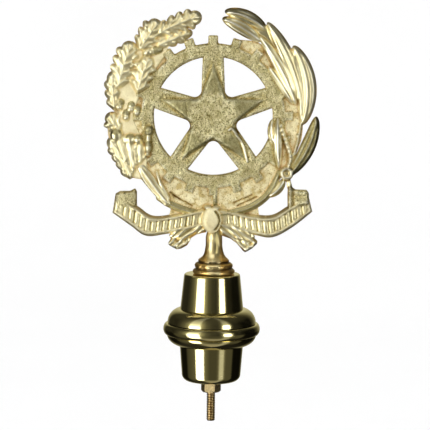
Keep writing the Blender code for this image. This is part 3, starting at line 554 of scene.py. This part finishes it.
def add_stub(relief, outline, pit, lip):
    """Cut end of a branch: fluted along its length, wider towards the cut, which is hollow with a ragged lip."""
    part, u, v, level = relief.patch(outline)
    across = 0.61 * np.abs(u) + 0.79 * v + 45.6
    height = 3.3 + 0.5 * np.cos(across * 2.1 + 0.5 * np.sin(u * 0.45)) + 0.25 * np.sin(u * 0.6)
    for (pu, pv), depth, size in pit:
        height -= depth * np.exp(-((u - pu) ** 2 + (v - pv) ** 2) / size ** 2)
    from_lip = 1 - stem_frame(u, v, [(*end, 1.0) for end in lip])[0]
    height += 0.9 * np.exp(-(from_lip / 0.8) ** 2)
    relief.merge(part, level, height - bevel(level, 1.3, 1.5), worn=0.8, smooth=0.6)


def line_level(relief, points, halves):
    line = smooth_line(points, halves)
    part, u, v = relief.window(line[:, :2])
    return part, stem_frame(u, v, line)[0]


def add_small_marks(relief):
    """Incised lines in the web, a casting seam on the star's lower right arm, and the cut in the branch's boss."""
    for points in WEB_LINES:
        part, level = line_level(relief, points, [0.5, 0.5])
        relief.height[part] -= 1.5 * smooth_step((level + 0.3) / 0.6)
        # Painted shade: the line's bottom takes the worn tone, which in its hollow is a dark shade line
        relief.worn[part] = np.where(level > 0.1, 0.8, relief.worn[part])
    part, level = line_level(relief, [(8.8, -7.6), (10.6, -7.0), (14.4, -12.0), (17.2, -17.6), (19.4, -25.6)],
                             [0.5, 0.6, 0.55, 0.7, 0.5])
    relief.height[part] += 1.5 * smooth_step((level + 0.5) / 0.9)
    relief.smooth[part] = np.where(level > -0.2, 0.55, relief.smooth[part])
    cu, cv = BRANCH_BOSS
    add_boss(relief, BRANCH_BOSS, (BRANCH_BOSS_RADIUS, BRANCH_BOSS_RADIUS), 3.4, 1.5)
    part, u, v = relief.window([(38, -36), (46, -28)])
    relief.height[part] -= 1.7 * smooth_step((2.4 - np.hypot(u - cu, v - cv)) / 0.9)


def blur(field, mask, times):
    both = np.array([field * mask, mask], float)
    for _ in range(times):
        for axis in (1, 2):
            both = (np.roll(both, 1, axis) + 2 * both + np.roll(both, -1, axis)) / 4
    return both[0] / np.maximum(both[1], 1e-9)


def build_relief():
    relief = Relief()
    add_wheel(relief)
    add_web(relief)
    for k, form in enumerate(OLIVE_LEAVES):
        add_olive_leaf(relief, form, OUTER_RIMS.get(k, 0.0), OLIVE_WORN.get(k, 1.0), OLIVE_POLISH_AND_SHADE.get(k, 0.7))
    for form in OAK_LEAVES:
        add_oak_leaf(relief, form)
    for k, form in enumerate(SWELLINGS):
        add_swelling(relief, form, SHADED_TIP_FROM.get(k, 0.55))
    for k, stem in enumerate(STEMS):
        add_stem(relief, stem, STEM_KNOBS.get(k, 0.0), STEM_POLISH_AND_SHADE.get(k, 0.6))
    for stub in STUBS:
        add_stub(relief, *stub)
    for centre, radii in TWIG_BOSSES:
        # Painted shade: the twig bosses' upper parts are painted a dark olive
        add_boss(relief, centre, radii, 3.2, 2.0, worn=0.6, cap=0.38)
    add_ribbon(relief)
    add_knot(relief)
    add_small_marks(relief)
    return relief


def link_object(name, data):
    item = bpy.data.objects.new(name, data)
    bpy.context.collection.objects.link(item)
    return item


def mesh_object(name, mesh, material, sharp):
    """Object for a mesh that is smooth except at edges sharper than an angle in degrees."""
    mesh.materials.append(material)
    mesh.shade_smooth()
    mesh.set_sharp_from_angle(angle=math.radians(sharp))
    return link_object(name, mesh)


def relief_mesh(name, relief, material):
    """One closed mesh: the relief in front, straight side walls and a flat back."""
    inside = relief.level > 0
    height = blur(relief.height, inside, 2)
    # Painted shade: how far each point lies below its surroundings, which the material turns into darker, warmer
    # colour in hollows and creases and lighter colour on crests
    hollow = np.clip(blur(relief.height, inside, 8) - blur(relief.height, inside, 1), -1, 1)
    index = np.full(inside.shape, -1)
    index[inside] = np.arange(inside.sum())
    rows, columns = np.nonzero(inside)
    verts = [tuple(p) for p in zip(relief.us[columns], relief.vs[rows], height[inside])]
    tint = list(zip(hollow[inside], relief.worn[inside], relief.smooth[inside]))
    cells = np.array([inside[:-1, :-1], inside[:-1, 1:], inside[1:, :-1], inside[1:, 1:]])
    full, some = cells.all(0), cells.any(0)
    i, j = np.nonzero(full)
    faces = np.stack([index[i, j], index[i, j + 1], index[i + 1, j + 1], index[i + 1, j]], axis=1).tolist()
    crossings, rim_edges = {}, []

    def crossing(a, b):
        key = (min(a, b), max(a, b))
        if key not in crossings:
            a, b = (a, b) if inside[a] else (b, a)
            t = min(max(relief.level[a] / (relief.level[a] - relief.level[b]), 0.06), 0.94)
            crossings[key] = len(verts)
            verts.append((relief.us[a[1]] * (1 - t) + relief.us[b[1]] * t,
                          relief.vs[a[0]] * (1 - t) + relief.vs[b[0]] * t, height[a] - 0.15))
            tint.append((hollow[a], relief.worn[a], relief.smooth[a]))
        return crossings[key]

    for i, j in zip(*np.nonzero(some & ~full)):
        corners = [(i, j), (i, j + 1), (i + 1, j + 1), (i + 1, j)]
        face, leaving = [], []
        for a, b in zip(corners, corners[1:] + corners[:1]):
            if inside[a]:
                face.append(int(index[a]))
            if inside[a] != inside[b]:
                if inside[a]:
                    leaving.append(len(face))
                face.append(crossing(a, b))
        faces.append(face)
        rim_edges += [(face[k], face[(k + 1) % len(face)]) for k in leaving]
    lip, back = {}, {}
    for a, b in rim_edges:
        for p in (a, b):
            if p not in back:
                for ring, depth in ((lip, BACK_HEIGHT + BACK_LIP), (back, BACK_HEIGHT)):
                    ring[p] = len(verts)
                    verts.append((*verts[p][:2], depth))
                    tint.append(BACK_TINT)
        faces += [[b, a, lip[a], lip[b]], [lip[b], lip[a], back[a], back[b]]]
    keys = list(back)
    place = {p: k for k, p in enumerate(keys)}
    flat = [Vector(verts[p][:2]) for p in keys]
    made, _, cap, origins, _, _ = delaunay_2d_cdt(flat, [(place[a], place[b]) for a, b in rim_edges], [], 0, 1e-7)
    for face in cap:
        x, y = sum((made[k] for k in face), Vector((0, 0))) / 3
        i, j = (y - relief.vs[0]) / PITCH, (x - relief.us[0]) / PITCH
        i0, j0 = int(i), int(j)
        fi, fj = i - i0, j - j0
        if np.array([1 - fi, fi]) @ relief.level[i0:i0 + 2, j0:j0 + 2] @ np.array([1 - fj, fj]) > 0:
            faces.append([back[keys[origins[k][0]]] for k in reversed(face)])
    points = [(u * MM, -h * MM, EMBLEM_Z + v * MM) for u, v, h in verts]
    mesh = bpy.data.meshes.new(name)
    mesh.from_pydata(points, [], faces)
    colour = mesh.color_attributes.new("cast_detail", "FLOAT_COLOR", "POINT")
    values = np.array([(0.5 + 0.5 * h, w, s, 1.0) for h, w, s in tint], dtype=np.float32)
    colour.data.foreach_set("color", values.ravel())
    return mesh_object(name, mesh, material, 50)


def ring_object(name, rings, material, sharp, closed=True):
    """Solid of rings of points in mm, where a ring of one point is a pole. The last ring is joined to the first,
    or both get a flat cap."""
    bm = bmesh.new()
    rings = [[bm.verts.new([c * MM for c in point]) for point in ring] for ring in rings]
    for lower, upper in zip(rings, rings[1:] + rings[:closed]):
        sides = max(len(lower), len(upper))
        for k in range(sides if sides > 1 else 0):
            m = (k + 1) % sides
            face = [lower[k % len(lower)], lower[m % len(lower)], upper[m % len(upper)], upper[k % len(upper)]]
            bm.faces.new(list(dict.fromkeys(face)))
    if not closed:
        bm.faces.new(rings[0][::-1])
        bm.faces.new(rings[-1])
    bmesh.ops.recalc_face_normals(bm, faces=bm.faces)
    mesh = bpy.data.meshes.new(name)
    bm.to_mesh(mesh)
    bm.free()
    return mesh_object(name, mesh, material, sharp)


def circle(r, z, sides):
    return [(*polar(r, math.tau * k / sides), z) for k in range(sides)]


def lathe(name, profile, sides, material):
    """Turn a closed profile of (r, z) points about Z."""
    return ring_object(name, [circle(r, z, sides if r else 1) for r, z in profile], material, 35)


def arc(centre_r, centre_z, radius_r, radius_z, start, end, steps, fullness=2.0):
    points = []
    for i in range(steps + 1):
        angle = math.radians(start + (end - start) * i / steps)
        c, s = math.cos(angle), math.sin(angle)
        points.append((centre_r + radius_r * math.copysign(abs(c) ** (2 / fullness), c),
                       centre_z + radius_z * math.copysign(abs(s) ** (2 / fullness), s)))
    return points


BELL_PROFILE = [(BORE, 34.0), (BORE, 62.5), *arc(15.0, 61.3, 1.2, 1.2, 90, 0, 8),
                *arc(17.9, 34.0, 7.6, 8.1, 88, 0, 30)]
CUP_PROFILE = [(BORE, 0.3), (BORE, 33.7), *arc(25.9, 30.45, 2.0, 3.25, 90, -90, 28), (25.4, 27.0),
               *arc(18.1, 26.8, 7.6, 6.0, 0, -88, 26, fullness=1.8), *arc(13.0, 4.0, 4.0, 4.0, 0, -90, 14),
               (6.57, 0.0), (6.57, 0.3)]
COLLAR_PROFILE = [
    (0.0, 72.1), (BORE, 72.1), (BORE, 62.8), (11.3, 62.8), (11.9, 63.1), (12.15, 63.7), (12.1, 64.3), (11.8, 64.8),
    (11.3, 65.2), (10.7, 65.5), (10.45, 65.8), (10.5, 66.1), (10.8, 66.6), (10.95, 67.2), (10.85, 67.9),
    (10.4, 68.5), (9.8, 68.95), (9.1, 69.2), (8.75, 69.5), (8.8, 69.9), (8.9, 70.4), (8.3, 71.1), (7.3, 71.9),
    (6.5, 72.7), (6.0, 73.5), (5.6, 74.4), (5.3, 75.6), (5.05, 77.2), (4.9, 79.0), (4.8, 81.2), (4.7, 83.6),
    (4.5, 85.2), (4.0, 86.8), (3.4, 88.4), (3.0, 90.5), (2.8, 99.9), (2.0, 102.4), (0.0, 103.5)]


def shape_collar(collar):
    """Set the skin a little to the right, and make it uneven above its foot. The bore stays as it is."""
    outside, bore_top, foot_top = 3.0 * MM, 73.0 * MM, 65.4 * MM
    for vertex in collar.data.vertices:
        x, y, z = vertex.co
        if math.hypot(x, y) > outside or z > bore_top:
            vertex.co = (x + STEM_OFFSET * MM, y, z)
            x, y, z = vertex.co
        if z > foot_top and x * x + y * y > outside ** 2:
            swell = 0.04 * noise.noise(Vector((x, y, z * 0.8)) * 260) + 0.03 * noise.noise(Vector((x, y, z)) * 700)
            vertex.co = (x * (1 + swell), y * (1 + swell), z)


def hex_nut(material):
    """Nut with conical chamfers on its top and bottom corners and a countersunk bore."""
    steps, flat, top, bottom = 48, 5.0, 0.0, -6.6
    turned, countersink, turn = flat * 0.98, BORE + 0.35, math.radians(-8)
    columns = []
    for k in range(steps):
        theta = math.tau * k / steps
        hexagon = flat / math.cos((theta % (math.pi / 3)) - math.pi / 6)
        fall = (hexagon - turned) * math.tan(math.radians(38)) + 0.08
        columns.append([(*polar(r, theta + turn), z) for r, z in (
            (BORE, top - 0.5), (countersink, top), (turned, top), (hexagon, top - fall), (hexagon, bottom + fall),
            (turned, bottom), (countersink, bottom), (BORE, bottom + 0.5))])
    return ring_object("nut_detail", columns, material, 20)


def threaded_rod(material):
    """Rod with a helical thread over its lower part, plain above, and a chamfered end."""
    sides, pitch, per_turn = 40, 1.0, 10
    bottom, thread_top, top = -23.6, 3.0, 71.8
    count = round((thread_top - bottom) / pitch * per_turn)

    def radius(z, k):
        phase = ((z - bottom) / pitch - k / sides) % 1.0
        ridge = smooth_step((0.5 - abs(phase - 0.5)) / 0.36)
        return min(THREAD_ROOT + (ROD_RADIUS - THREAD_ROOT) * ridge, 2.0 + (z - bottom) * 1.1)

    levels = [bottom + (thread_top - bottom) * i / count for i in range(count + 1)]
    rings = [[(*polar(radius(z, k), math.tau * k / sides), z) for k in range(sides)] for z in levels]
    rings += [circle(r, z, sides) for r, z in
              ((ROD_RADIUS, thread_top + 0.4), (ROD_RADIUS, top - 0.5), (2.0, top))]
    return ring_object("rod_detail", rings, material, 50, closed=False)


class Nodes:
    """Short calls for building a node tree."""

    def __init__(self, tree):
        self.tree = tree

    def feed(self, value, socket):
        """Give a socket a number, a colour, a vector or a link."""
        if isinstance(value, (int, float)):
            socket.default_value = value
        elif isinstance(value, tuple):
            socket.default_value = (*value, 1.0) if socket.type == "RGBA" else value
        elif value is not None:
            self.tree.links.new(value, socket)

    def add(self, kind, inputs=(), **settings):
        node = self.tree.nodes.new("ShaderNode" + kind)
        for key, value in settings.items():
            setattr(node, key, value)
        for key, value in dict(inputs).items():
            self.feed(value, node.inputs[key])
        return node

    def math(self, operation, a, b=None):
        return self.add("Math", {0: a, 1: b}, operation=operation).outputs[0]

    def line(self, value, slope, start):
        return self.math("ADD", self.math("MULTIPLY", value, slope), start)

    def share(self, value, low, high):
        """How far a value is from low to high."""
        return self.math("DIVIDE", self.math("SUBTRACT", value, low), high - low)

    def ramp(self, factor, stops):
        node = self.add("ValToRGB", {0: factor})
        elements = node.color_ramp.elements
        while len(elements) > 1:
            elements.remove(elements[-1])
        for k, (place, colour) in enumerate(stops):
            element = elements[0] if k == 0 else elements.new(place)
            element.position = place
            colour = (colour,) * 3 if isinstance(colour, (int, float)) else colour
            element.color = (*colour, 1.0)
        return node.outputs[0]

    def mix(self, factor, a, b, blend="MIX"):
        return self.add("Mix", {0: factor, 6: a, 7: b}, data_type="RGBA", blend_type=blend).outputs[2]

    def tint(self, colour, by):
        return self.mix(1.0, colour, by, "MULTIPLY")

    def noise(self, vector, scale, detail=3.0, roughness=0.55):
        inputs = {"Vector": vector, "Scale": scale, "Detail": detail, "Roughness": roughness}
        return self.add("TexNoise", inputs).outputs[0]

    def bump(self, height, distance, strength=0.5, normal=None):
        inputs = {"Height": height, "Distance": distance, "Strength": strength, "Normal": normal}
        return self.add("Bump", inputs).outputs[0]

    def surface(self, shader, colour, roughness, normal):
        self.feed(colour, shader.inputs["Base Color"])
        self.feed(roughness, shader.inputs["Roughness"])
        self.feed(normal, shader.inputs["Normal"])


GRAIN_STOPS = [(0.35, 0.0), (0.65, 1.0)]


def new_material(name, metallic=1.0):
    material = bpy.data.materials.new(name)
    material.use_nodes = True
    nodes = Nodes(material.node_tree)
    shader = material.node_tree.nodes["Principled BSDF"]
    shader.inputs["Metallic"].default_value = metallic
    coords = nodes.add("TexCoord").outputs["Object"]
    return material, nodes, shader, coords


def cast_brass():
    """Cast and hand-rubbed brass: olive-gold where rubbed flat, with painted shade that makes it dark and warm in
    the hollows, pale and grainy in the web.
    """
    material, nodes, shader, coords = new_material("cast_brass_worn_painted_shade")
    detail = nodes.add("VertexColor", layer_name="cast_detail").outputs[0]
    hollow, worn, smooth = nodes.add("SeparateColor", {0: detail}).outputs
    fine = nodes.noise(coords, 1350.0, 2.0)
    middle = nodes.noise(coords, 640.0)
    broad = nodes.noise(coords, 110.0)
    # Painted shade and painted highlight: darker olive and warm brown in the hollows, cream on the crests; raw only
    # darkens the hollows, where the brass isn't worn
    tone = nodes.ramp(hollow, [(0.36, (1.0, 0.97, 0.84)), (0.47, (0.97, 0.91, 0.62)), (0.60, (0.82, 0.70, 0.36)),
                               (0.80, (0.56, 0.38, 0.15))])
    raw = nodes.ramp(hollow, [(0.5, (1.0, 0.92, 0.60)), (0.64, (1.0, 0.89, 0.56)), (0.85, (0.84, 0.64, 0.34))])
    colour = nodes.mix(worn, raw, tone)
    colour = nodes.tint(colour, nodes.ramp(broad, [(0.36, (0.80, 0.77, 0.70)), (0.62, 1.0)]))
    # Painted shade: a smooth value from 0.3 to 0.4 darkens the colour to olive, for the dark parts of the star's
    # arms, stems, strokes, the knot's crease and the tops of acorns and bosses
    painted_olive_shade = [(0.0, 1.0), (0.12, 1.0), (0.3, (0.56, 0.55, 0.46)), (0.4, (0.60, 0.59, 0.48)), (0.5, 1.0)]
    colour = nodes.tint(colour, nodes.ramp(smooth, painted_olive_shade))
    grainy = nodes.ramp(smooth, [(0.1, 1.0), (0.6, 0.03)])
    specks = nodes.ramp(fine, [(0.35, (0.34, 0.32, 0.22)), (0.46, (0.88, 0.87, 0.78)), (0.56, 1.0)])
    web_specks = nodes.ramp(fine, [(0.34, (0.50, 0.42, 0.26)), (0.41, (0.97, 0.95, 0.88)), (0.48, 1.0)])
    specks = nodes.mix(worn, web_specks, specks)
    colour = nodes.tint(colour, nodes.mix(grainy, (1.0, 1.0, 1.0), specks))
    stains = nodes.ramp(nodes.noise(coords, 230.0, 4.0), [(0.38, (0.70, 0.61, 0.40)), (0.54, 1.0)])
    staining = nodes.math("MULTIPLY", grainy, nodes.math("SUBTRACT", 1.0, worn))
    colour = nodes.mix(staining, colour, nodes.tint(colour, stains))
    rubbed = nodes.ramp(nodes.noise(coords, 300.0, 2.0), [(0.40, (0.72, 0.70, 0.58)), (0.60, 1.0)])
    rubbing = nodes.math("MULTIPLY", nodes.math("MULTIPLY", grainy, worn), 0.9)
    colour = nodes.mix(rubbing, colour, nodes.tint(colour, rubbed))
    nodes.feed(nodes.ramp(worn, [(0.0, 0.28), (0.35, 0.9), (0.5, 1.0)]), shader.inputs["Metallic"])
    rough = nodes.ramp(middle, [(0.35, 0.29), (0.65, 0.39)])
    dull = nodes.ramp(worn, [(0.0, 0.2), (0.5, 0.0)])
    grain = nodes.bump(fine, 0.0005, grainy, nodes.bump(middle, 0.0011, grainy))
    nodes.surface(shader, colour, nodes.math("ADD", rough, dull), grain)
    return material


def turned_brass(name, colour, roughness, line_scale, line_depth):
    """Polished brass off the lathe: fine rings that follow the turning, and faint smears of polish."""
    material, nodes, shader, coords = new_material(name)
    stretch = nodes.add("Mapping", {"Vector": coords, "Scale": (0.02, 0.02, 1.0)})
    lines = nodes.noise(stretch.outputs[0], line_scale, 3.0, 0.7)
    smears = nodes.noise(coords, 90.0)
    nodes.surface(shader, nodes.mix(smears, tuple(c * 0.94 for c in colour), colour),
                  nodes.line(smears, roughness, roughness * 0.5), nodes.bump(lines, line_depth))
    return material


def plain_brass(name, colour, roughness, scale, depth, threaded=False):
    """Brass with a light grain. A threaded one gets darker towards the thread's root."""
    material, nodes, shader, coords = new_material(name)
    grain = nodes.noise(coords, scale, 4.0)
    shown = nodes.mix(nodes.ramp(grain, GRAIN_STOPS), tuple(c * 0.72 for c in colour), colour)
    if threaded:
        flat = nodes.add("VectorMath", {0: coords, 1: (1.0, 1.0, 0.0)}, operation="MULTIPLY")
        reach = nodes.add("VectorMath", {0: flat.outputs[0]}, operation="LENGTH").outputs["Value"]
        reach = nodes.share(reach, THREAD_ROOT * MM, ROD_RADIUS * MM)
        shown = nodes.tint(shown, nodes.ramp(reach, [(0.2, (0.26, 0.19, 0.11)), (0.95, 1.0)]))
    nodes.surface(shader, shown, nodes.line(grain, 0.2, roughness - 0.1), nodes.bump(grain, depth))
    return material


def collar_brass():
    """Cast brass of the stem and collar, with painted shade: brownish towards its left and right edges, dark in the
    grooves, and a dark olive streak right of the stem's middle.
    """
    material, nodes, shader, coords = new_material("collar_brass")
    grain = nodes.noise(coords, 300.0, 4.0)
    shown = nodes.mix(nodes.ramp(grain, GRAIN_STOPS), (0.90, 0.70, 0.34), (1.0, 0.88, 0.52))
    x, _, z = nodes.add("SeparateXYZ", {0: coords}).outputs
    side = nodes.share(x, (STEM_OFFSET - 5.0) * MM, (STEM_OFFSET + 5.0) * MM)
    # Painted shade: the stem and collar are painted brownish towards their left and right edges
    painted_edge_shade = (0.93, 0.74, 0.48)
    shown = nodes.tint(shown, nodes.ramp(side, [(0.04, painted_edge_shade), (0.20, 1.0), (0.80, 1.0), (0.96, painted_edge_shade)]))
    low, high = 60.0, 80.0
    place = nodes.share(z, low * MM, high * MM)
    # Painted shade: dark bands at the collar's two grooves
    painted_groove_shade = [(64.6, 1.0), (65.2, 0.3), (66.1, 0.3), (66.6, 1.0), (68.6, 1.0), (69.1, 0.22), (70.1, 0.28),
             (70.8, 1.0)]
    shown = nodes.tint(shown, nodes.ramp(place, [((z - low) / (high - low), tone) for z, tone in painted_groove_shade]))
    # Painted shade: a dark olive streak right of the stem's middle, from just above the collar upwards
    painted_shade_streak = nodes.ramp(side, [(0.50, 0.0), (0.57, 1.0), (0.72, 1.0), (0.84, 0.0)])
    painted_shade_streak = nodes.math("MULTIPLY", painted_shade_streak, nodes.ramp(place, [(0.55, 0.0), (0.72, 0.9)]))
    shown = nodes.mix(painted_shade_streak, shown, (0.34, 0.29, 0.13))
    nodes.surface(shader, shown, nodes.line(grain, 0.2, 0.26), nodes.bump(grain, 0.0007))
    return material


def studio_world():
    """White backdrop, two softboxes in front, dark flags at both sides, dim ceiling and a tan table below."""
    world = bpy.data.worlds.new("studio")
    bpy.context.scene.world = world
    world.use_nodes = True
    nodes = Nodes(world.node_tree)
    background = world.node_tree.nodes["Background"]
    direction = nodes.add("TexCoord").outputs["Generated"]
    x, y, z = nodes.add("SeparateXYZ", {0: direction}).outputs
    turn = nodes.math("ARCTAN2", x, nodes.math("MULTIPLY", y, -1.0))
    turn = nodes.math("ADD", nodes.math("DIVIDE", turn, math.tau), 0.5)
    rise = nodes.line(z, 0.5, 0.5)

    def shade(value):
        return (value, value * 0.95, value * 0.64)

    def around(stops, tone=lambda value: value):
        """Ramp over the degrees to the right of straight ahead of the emblem's face."""
        return nodes.ramp(turn, [(degrees / 360 + 0.5, tone(value)) for degrees, value in stops])

    def upwards(stops):
        """Ramp over the degrees above the horizon."""
        return nodes.ramp(rise, [(0.5 + 0.5 * math.sin(math.radians(degrees)), value) for degrees, value in stops])

    room = around([
        (-180, 0.6), (-156, 0.22), (-144, 0.03), (-105, 0.018), (-90, 0.045), (-75, 0.12), (-64, 0.32), (-30, 0.5),
        (-20, 0.24), (-14, 0.11), (0, 0.048), (18, 0.033), (28, 0.16), (50, 0.2), (58, 0.025), (90, 0.003),
        (124, 0.005), (140, 0.08), (152, 0.24), (180, 0.6)], shade)
    low_room = around([
        (-180, 0.4), (-156, 0.1), (-144, 0.006), (-108, 0.006), (-99, 0.06), (-64, 0.12), (-30, 0.3), (-20, 0.14),
        (-6, 0.066), (20, 0.066), (30, 0.15), (50, 0.17), (58, 0.08), (83, 0.075), (89, 0.004), (140, 0.004),
        (156, 0.08), (180, 0.4)], shade)
    room = nodes.mix(upwards([(-13, 1.0), (-5, 0.0)]), room, low_room)
    left_box = nodes.math("MULTIPLY", around([(-63, 0.0), (-57, 1.0), (-32, 1.0), (-28, 0.0)]),
                          upwards([(-46, 0.0), (-36, 1.0), (0, 1.0), (9, 0.4), (26, 0.13), (60, 0.04)]))
    right_box = nodes.math("MULTIPLY", around([(28, 0.0), (33, 1.0), (46, 1.0), (51, 0.0)]),
                           upwards([(-40, 0.04), (-16, 0.1), (-7, 1.0), (12, 1.0), (24, 0.1), (60, 0.03)]))
    colour = nodes.mix(upwards([(20, 0.0), (65, 1.0)]), room, shade(0.05))
    tan = nodes.tint(around([(-60, 0.03), (-20, 0.34), (25, 0.34), (60, 0.015)]), (1.0, 0.92, 0.72))
    colour = nodes.mix(upwards([(-62, 1.0), (-34, 0.0)]), colour, tan)
    colour = nodes.mix(nodes.math("ADD", left_box, right_box), colour, (4.5, 4.5, 4.3))
    shiny = nodes.add("LightPath").outputs["Is Glossy Ray"]
    nodes.feed(nodes.mix(shiny, (1.08, 1.08, 1.08), colour), background.inputs["Color"])
    background.inputs["Strength"].default_value = 1.0


def overhead_light(*receivers):
    """Soft light above and in front that reaches the casting only: its own spread shades the base below."""
    data = bpy.data.lights.new("overhead", "AREA")
    data.shape = "RECTANGLE"
    data.size, data.size_y = 1.5, 0.7
    data.energy = 5.4
    data.color = (1.0, 0.98, 0.92)
    item = link_object("overhead", data)
    item.location = (-0.25, -0.85, 1.35)
    item.rotation_euler = (Vector((0, 0, EMBLEM_Z)) - item.location).to_track_quat("-Z", "Y").to_euler()
    item.visible_camera = False
    lit = bpy.data.collections.new("lit_from_above")
    for receiver in receivers:
        lit.objects.link(receiver)
    item.light_linking.receiver_collection = lit


def backdrop():
    """White sweep: a floor well below the rod's end that curves up far behind."""
    profile = [(-3.0, -0.3), (2.0, -0.3)]
    profile += [(2.0 + math.sin(a), 0.7 - math.cos(a)) for a in np.linspace(0, math.pi / 2, 12)[1:]]
    profile += [(3.0, 4.0)]
    count = len(profile)
    mesh = bpy.data.meshes.new("sweep")
    mesh.from_pydata([(x, y, z) for x in (-4.0, 4.0) for y, z in profile], [],
                     [(k, count + k, count + k + 1, k + 1) for k in range(count - 1)])
    material, nodes, shader, coords = new_material("white_sweep", metallic=0.0)
    mottle = nodes.mix(nodes.noise(coords, 3.0), (0.93, 0.93, 0.93), (0.96, 0.96, 0.96))
    nodes.feed(mottle, shader.inputs["Base Color"])
    shader.inputs["Roughness"].default_value = 0.9
    shader.inputs["Specular IOR Level"].default_value = 0.0
    item = mesh_object("sweep", mesh, material, 180)
    item.visible_glossy = False


def camera():
    data = bpy.data.cameras.new("camera")
    item = link_object("camera", data)
    data.sensor_width = SENSOR
    data.lens = SENSOR * FOCAL / FRAME
    data.clip_start = 0.1
    data.shift_x = (FRAME / 2 - AXIS_COLUMN) / FRAME
    item.matrix_world = (Matrix.Translation((0, -1.3979, 0.2681)) @ Matrix.Rotation(math.radians(83), 4, "X")
                         @ Matrix.Rotation(math.radians(0.6), 4, "Z"))
    bpy.context.scene.camera = item


bpy.context.scene.view_settings.view_transform = "Standard"
camera()
studio_world()
backdrop()

emblem = relief_mesh("emblem_relief", build_relief(), cast_brass())
collar = lathe("emblem_collar", COLLAR_PROFILE, 96, collar_brass())
shape_collar(collar)
overhead_light(emblem, collar)
polished = turned_brass("polished_brass_turned", (0.88, 0.79, 0.44), 0.06, 9000.0, 0.00002)
bell = lathe("bell_turned", BELL_PROFILE, 128, polished)
cup = lathe("cup_turned", CUP_PROFILE, 128, polished)
nut = hex_nut(plain_brass("nut_satin_brass", (0.97, 0.76, 0.41), 0.40, 900.0, 0.0001))
rod = threaded_rod(plain_brass("rod_dull_brass", (0.90, 0.66, 0.31), 0.36, 400.0, 0.00003, threaded=True))

for piece, node, slot in ((emblem, "emblem_casting", "cast_brass"), (collar, "emblem_casting", "cast_brass"),
                          (bell, "upper_base_bell", "polished_brass"), (cup, "lower_base_cup", "polished_brass"),
                          (nut, "hex_nut", "nut_brass"), (rod, "threaded_rod", "rod_brass")):
    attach(piece, "root")
    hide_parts(node)
